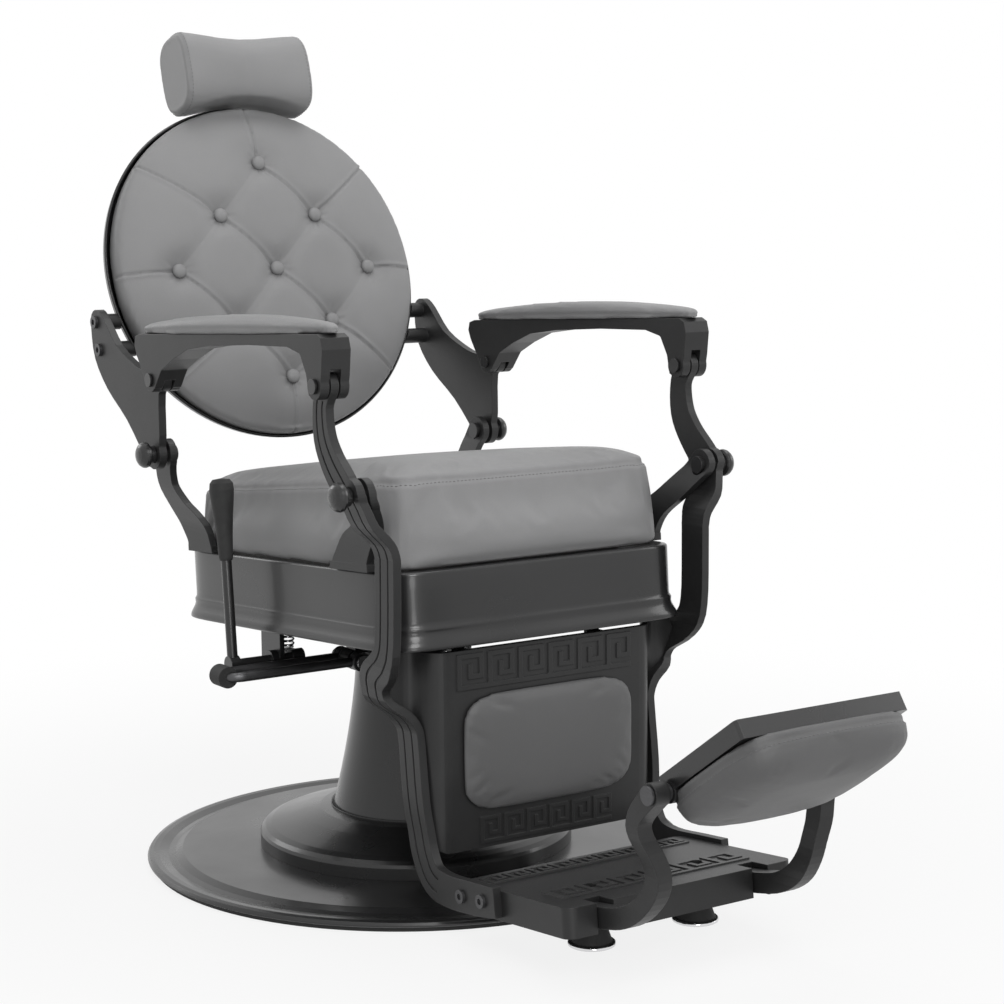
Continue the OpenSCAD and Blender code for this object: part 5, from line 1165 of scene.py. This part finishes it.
class BARBER_OT_stage(ChairStep, bpy.types.Operator):
    """Camera at the photograph's angle, soft studio lamps, pale floor and white surroundings."""

    bl_idname = "barber_chair.stage"
    bl_label = "Stage"

    # Name of each lamp, its place, the height it points at over the middle, size and share of the power
    lamps = [
        ("Lamp_front", (-1.1, -3.1, 2.7), 0.60, 1.7, 1),
        ("Lamp_low", (-1.5, -3.6, 0.62), 0.3, 1.1, 0.26),
        ("Lamp_right", (3.0, -1.6, 1.9), 0.5, 1.8, 0.35),
        ("Lamp_top", (0.2, 0.2, 3.2), 0.5, 2.4, 0.55),
        ("Lamp_rim", (-1.2, 2.6, 1.6), 0.7, 1.4, 0.20),
    ]

    def build(self, context):
        stage = context.scene.barber_chair_stage
        self.camera(context.scene, stage)
        self.surroundings(context.scene, stage)
        self.floor(stage)
        for name, place, height, size, share in self.lamps:
            self.lamp(name, Vector(place), height, size, stage.lamp_power * share)
        context.scene.view_settings.view_transform = "Standard"

    def camera(self, scene, stage):
        data = bpy.data.cameras.new("Camera")
        data.lens = stage.camera_lens
        data.sensor_width = 36
        data.clip_end = 100
        yaw, dip, roll = stage.camera_yaw, stage.camera_dip, stage.camera_roll
        ahead = Vector((math.sin(yaw) * math.cos(dip), math.cos(yaw) * math.cos(dip), -math.sin(dip)))
        right = ahead.cross(Vector((0, 0, 1))).normalized()
        up = right.cross(ahead)
        side = right * math.cos(roll) + up * math.sin(roll)
        top = up * math.cos(roll) - right * math.sin(roll)
        turn = Matrix((side, top, -ahead)).transposed().to_4x4()
        obj = linked_object("Camera", data)
        obj.matrix_world = Matrix.Translation(Vector(stage.camera_place)) @ turn
        scene.camera = obj

    def seen_directly(self, tree):
        """1 for rays that leave the camera or a mirror, 0 for light that falls on the chair."""
        path = tree.nodes.new("ShaderNodeLightPath")
        total = path.outputs["Is Camera Ray"]
        for kind in ("Is Glossy Ray", "Is Transmission Ray"):
            inputs = {0: total, 1: path.outputs[kind]}
            total = added(tree, "ShaderNodeMath", inputs, operation="MAXIMUM").outputs[0]
        return total

    def shown(self, tree, share, light, seen, output):
        """Mixes the shader that lights the chair with the one that is seen directly."""
        inputs = {0: share, 1: light.outputs[0], 2: seen.outputs[0]}
        mix = added(tree, "ShaderNodeMixShader", inputs)
        tree.links.new(mix.outputs[0], tree.nodes[output].inputs["Surface"])

    def surroundings(self, scene, stage):
        world = bpy.data.worlds.new("Surroundings")
        world.use_nodes = True
        scene.world = world
        tree = world.node_tree
        light = tree.nodes["Background"]
        light.inputs["Color"].default_value = WHITE
        light.inputs["Strength"].default_value = stage.sky_strength
        white = added(tree, "ShaderNodeBackground", {"Color": WHITE})
        self.shown(tree, self.seen_directly(tree), light, white, "World Output")

    def floor(self, stage):
        material = bpy.data.materials.new("Pale_floor")
        material.use_nodes = True
        tree = material.node_tree
        shader = tree.nodes["Principled BSDF"]
        shader.inputs["Base Color"].default_value = (0.55, 0.55, 0.55, 1)
        shader.inputs["Roughness"].default_value = 0.6
        white = added(tree, "ShaderNodeEmission", {"Color": WHITE, "Strength": 1})
        # The shadow stays near the chair, and the floor runs out to plain white
        place = added(tree, "ShaderNodeNewGeometry").outputs["Position"]
        away = added(tree, "ShaderNodeVectorMath", {0: place}, operation="LENGTH").outputs["Value"]
        near = 0.85 if stage.keep_shadow else 1
        limits = {"Value": away, "From Min": 0.35, "From Max": 1.5, "To Min": near, "To Max": 1}
        glow = added(tree, "ShaderNodeMapRange", limits, interpolation_type="SMOOTHSTEP").outputs["Result"]
        shares = {0: self.seen_directly(tree), 1: glow}
        share = added(tree, "ShaderNodeMath", shares, operation="MULTIPLY").outputs[0]
        self.shown(tree, share, shader, white, "Material Output")
        ring = [(stage.floor_radius * math.cos(a), stage.floor_radius * math.sin(a), 0) for a in turns(96)]
        mesh = bpy.data.meshes.new("Floor")
        mesh.from_pydata(ring, [], [tuple(range(len(ring)))])
        mesh.materials.append(material)
        linked_object("Floor", mesh)

    def lamp(self, name, place, height, size, power):
        data = bpy.data.lights.new(name, "AREA")
        data.shape = "DISK"
        data.size = size
        data.energy = power
        obj = linked_object(name, data)
        turn = (Vector((0, 0, height)) - place).to_track_quat("-Z", "Y")
        obj.matrix_world = Matrix.Translation(place) @ turn.to_matrix().to_4x4()


SETTINGS = {
    "barber_chair_colours": ChairColours,
    "barber_chair_sizes": LeatherSizes,
    "barber_chair_stage": StageSettings,
}


STEPS = [
    BARBER_OT_stage, BARBER_OT_frame_finishes, BARBER_OT_seat_cushion, BARBER_OT_seat_shroud,
    BARBER_OT_release_spring, BARBER_OT_back_cushion, BARBER_OT_back_buttons, BARBER_OT_headrest,
    BARBER_OT_arm_pads, BARBER_OT_calf_pad, BARBER_OT_flip_pad, BARBER_OT_foot_rims,
]


class BARBER_PT_chair(bpy.types.Panel):
    """Lists the steps of the chair and the settings they read."""

    bl_idname = "BARBER_PT_chair"
    bl_label = "Barber Chair"
    bl_space_type = "VIEW_3D"
    bl_region_type = "UI"
    bl_category = "Barber Chair"

    def draw(self, context):
        column = self.layout.column()
        for step in STEPS:
            column.operator(step.bl_idname)
        for group in SETTINGS:
            settings = getattr(context.scene, group)
            box = self.layout.box()
            for name in settings.bl_rna.properties.keys():
                if name not in ("rna_type", "name"):
                    box.prop(settings, name)


def register():
    for group in SETTINGS.values():
        bpy.utils.register_class(group)
    for name, group in SETTINGS.items():
        setattr(bpy.types.Scene, name, PointerProperty(type=group))
    for step in STEPS:
        bpy.utils.register_class(step)
    bpy.utils.register_class(BARBER_PT_chair)


def unregister():
    bpy.utils.unregister_class(BARBER_PT_chair)
    for step in reversed(STEPS):
        bpy.utils.unregister_class(step)
    for name in SETTINGS:
        delattr(bpy.types.Scene, name)
    for group in SETTINGS.values():
        bpy.utils.unregister_class(group)


def plain(bounds):
    """A box as plain lists of numbers."""
    return [[float(x) for x in corner] for corner in bounds]


def main():
    register()
    for step in STEPS:
        group, name = step.bl_idname.split(".")
        getattr(getattr(bpy.ops, group), name)()


if __name__ == "__main__":
    main()
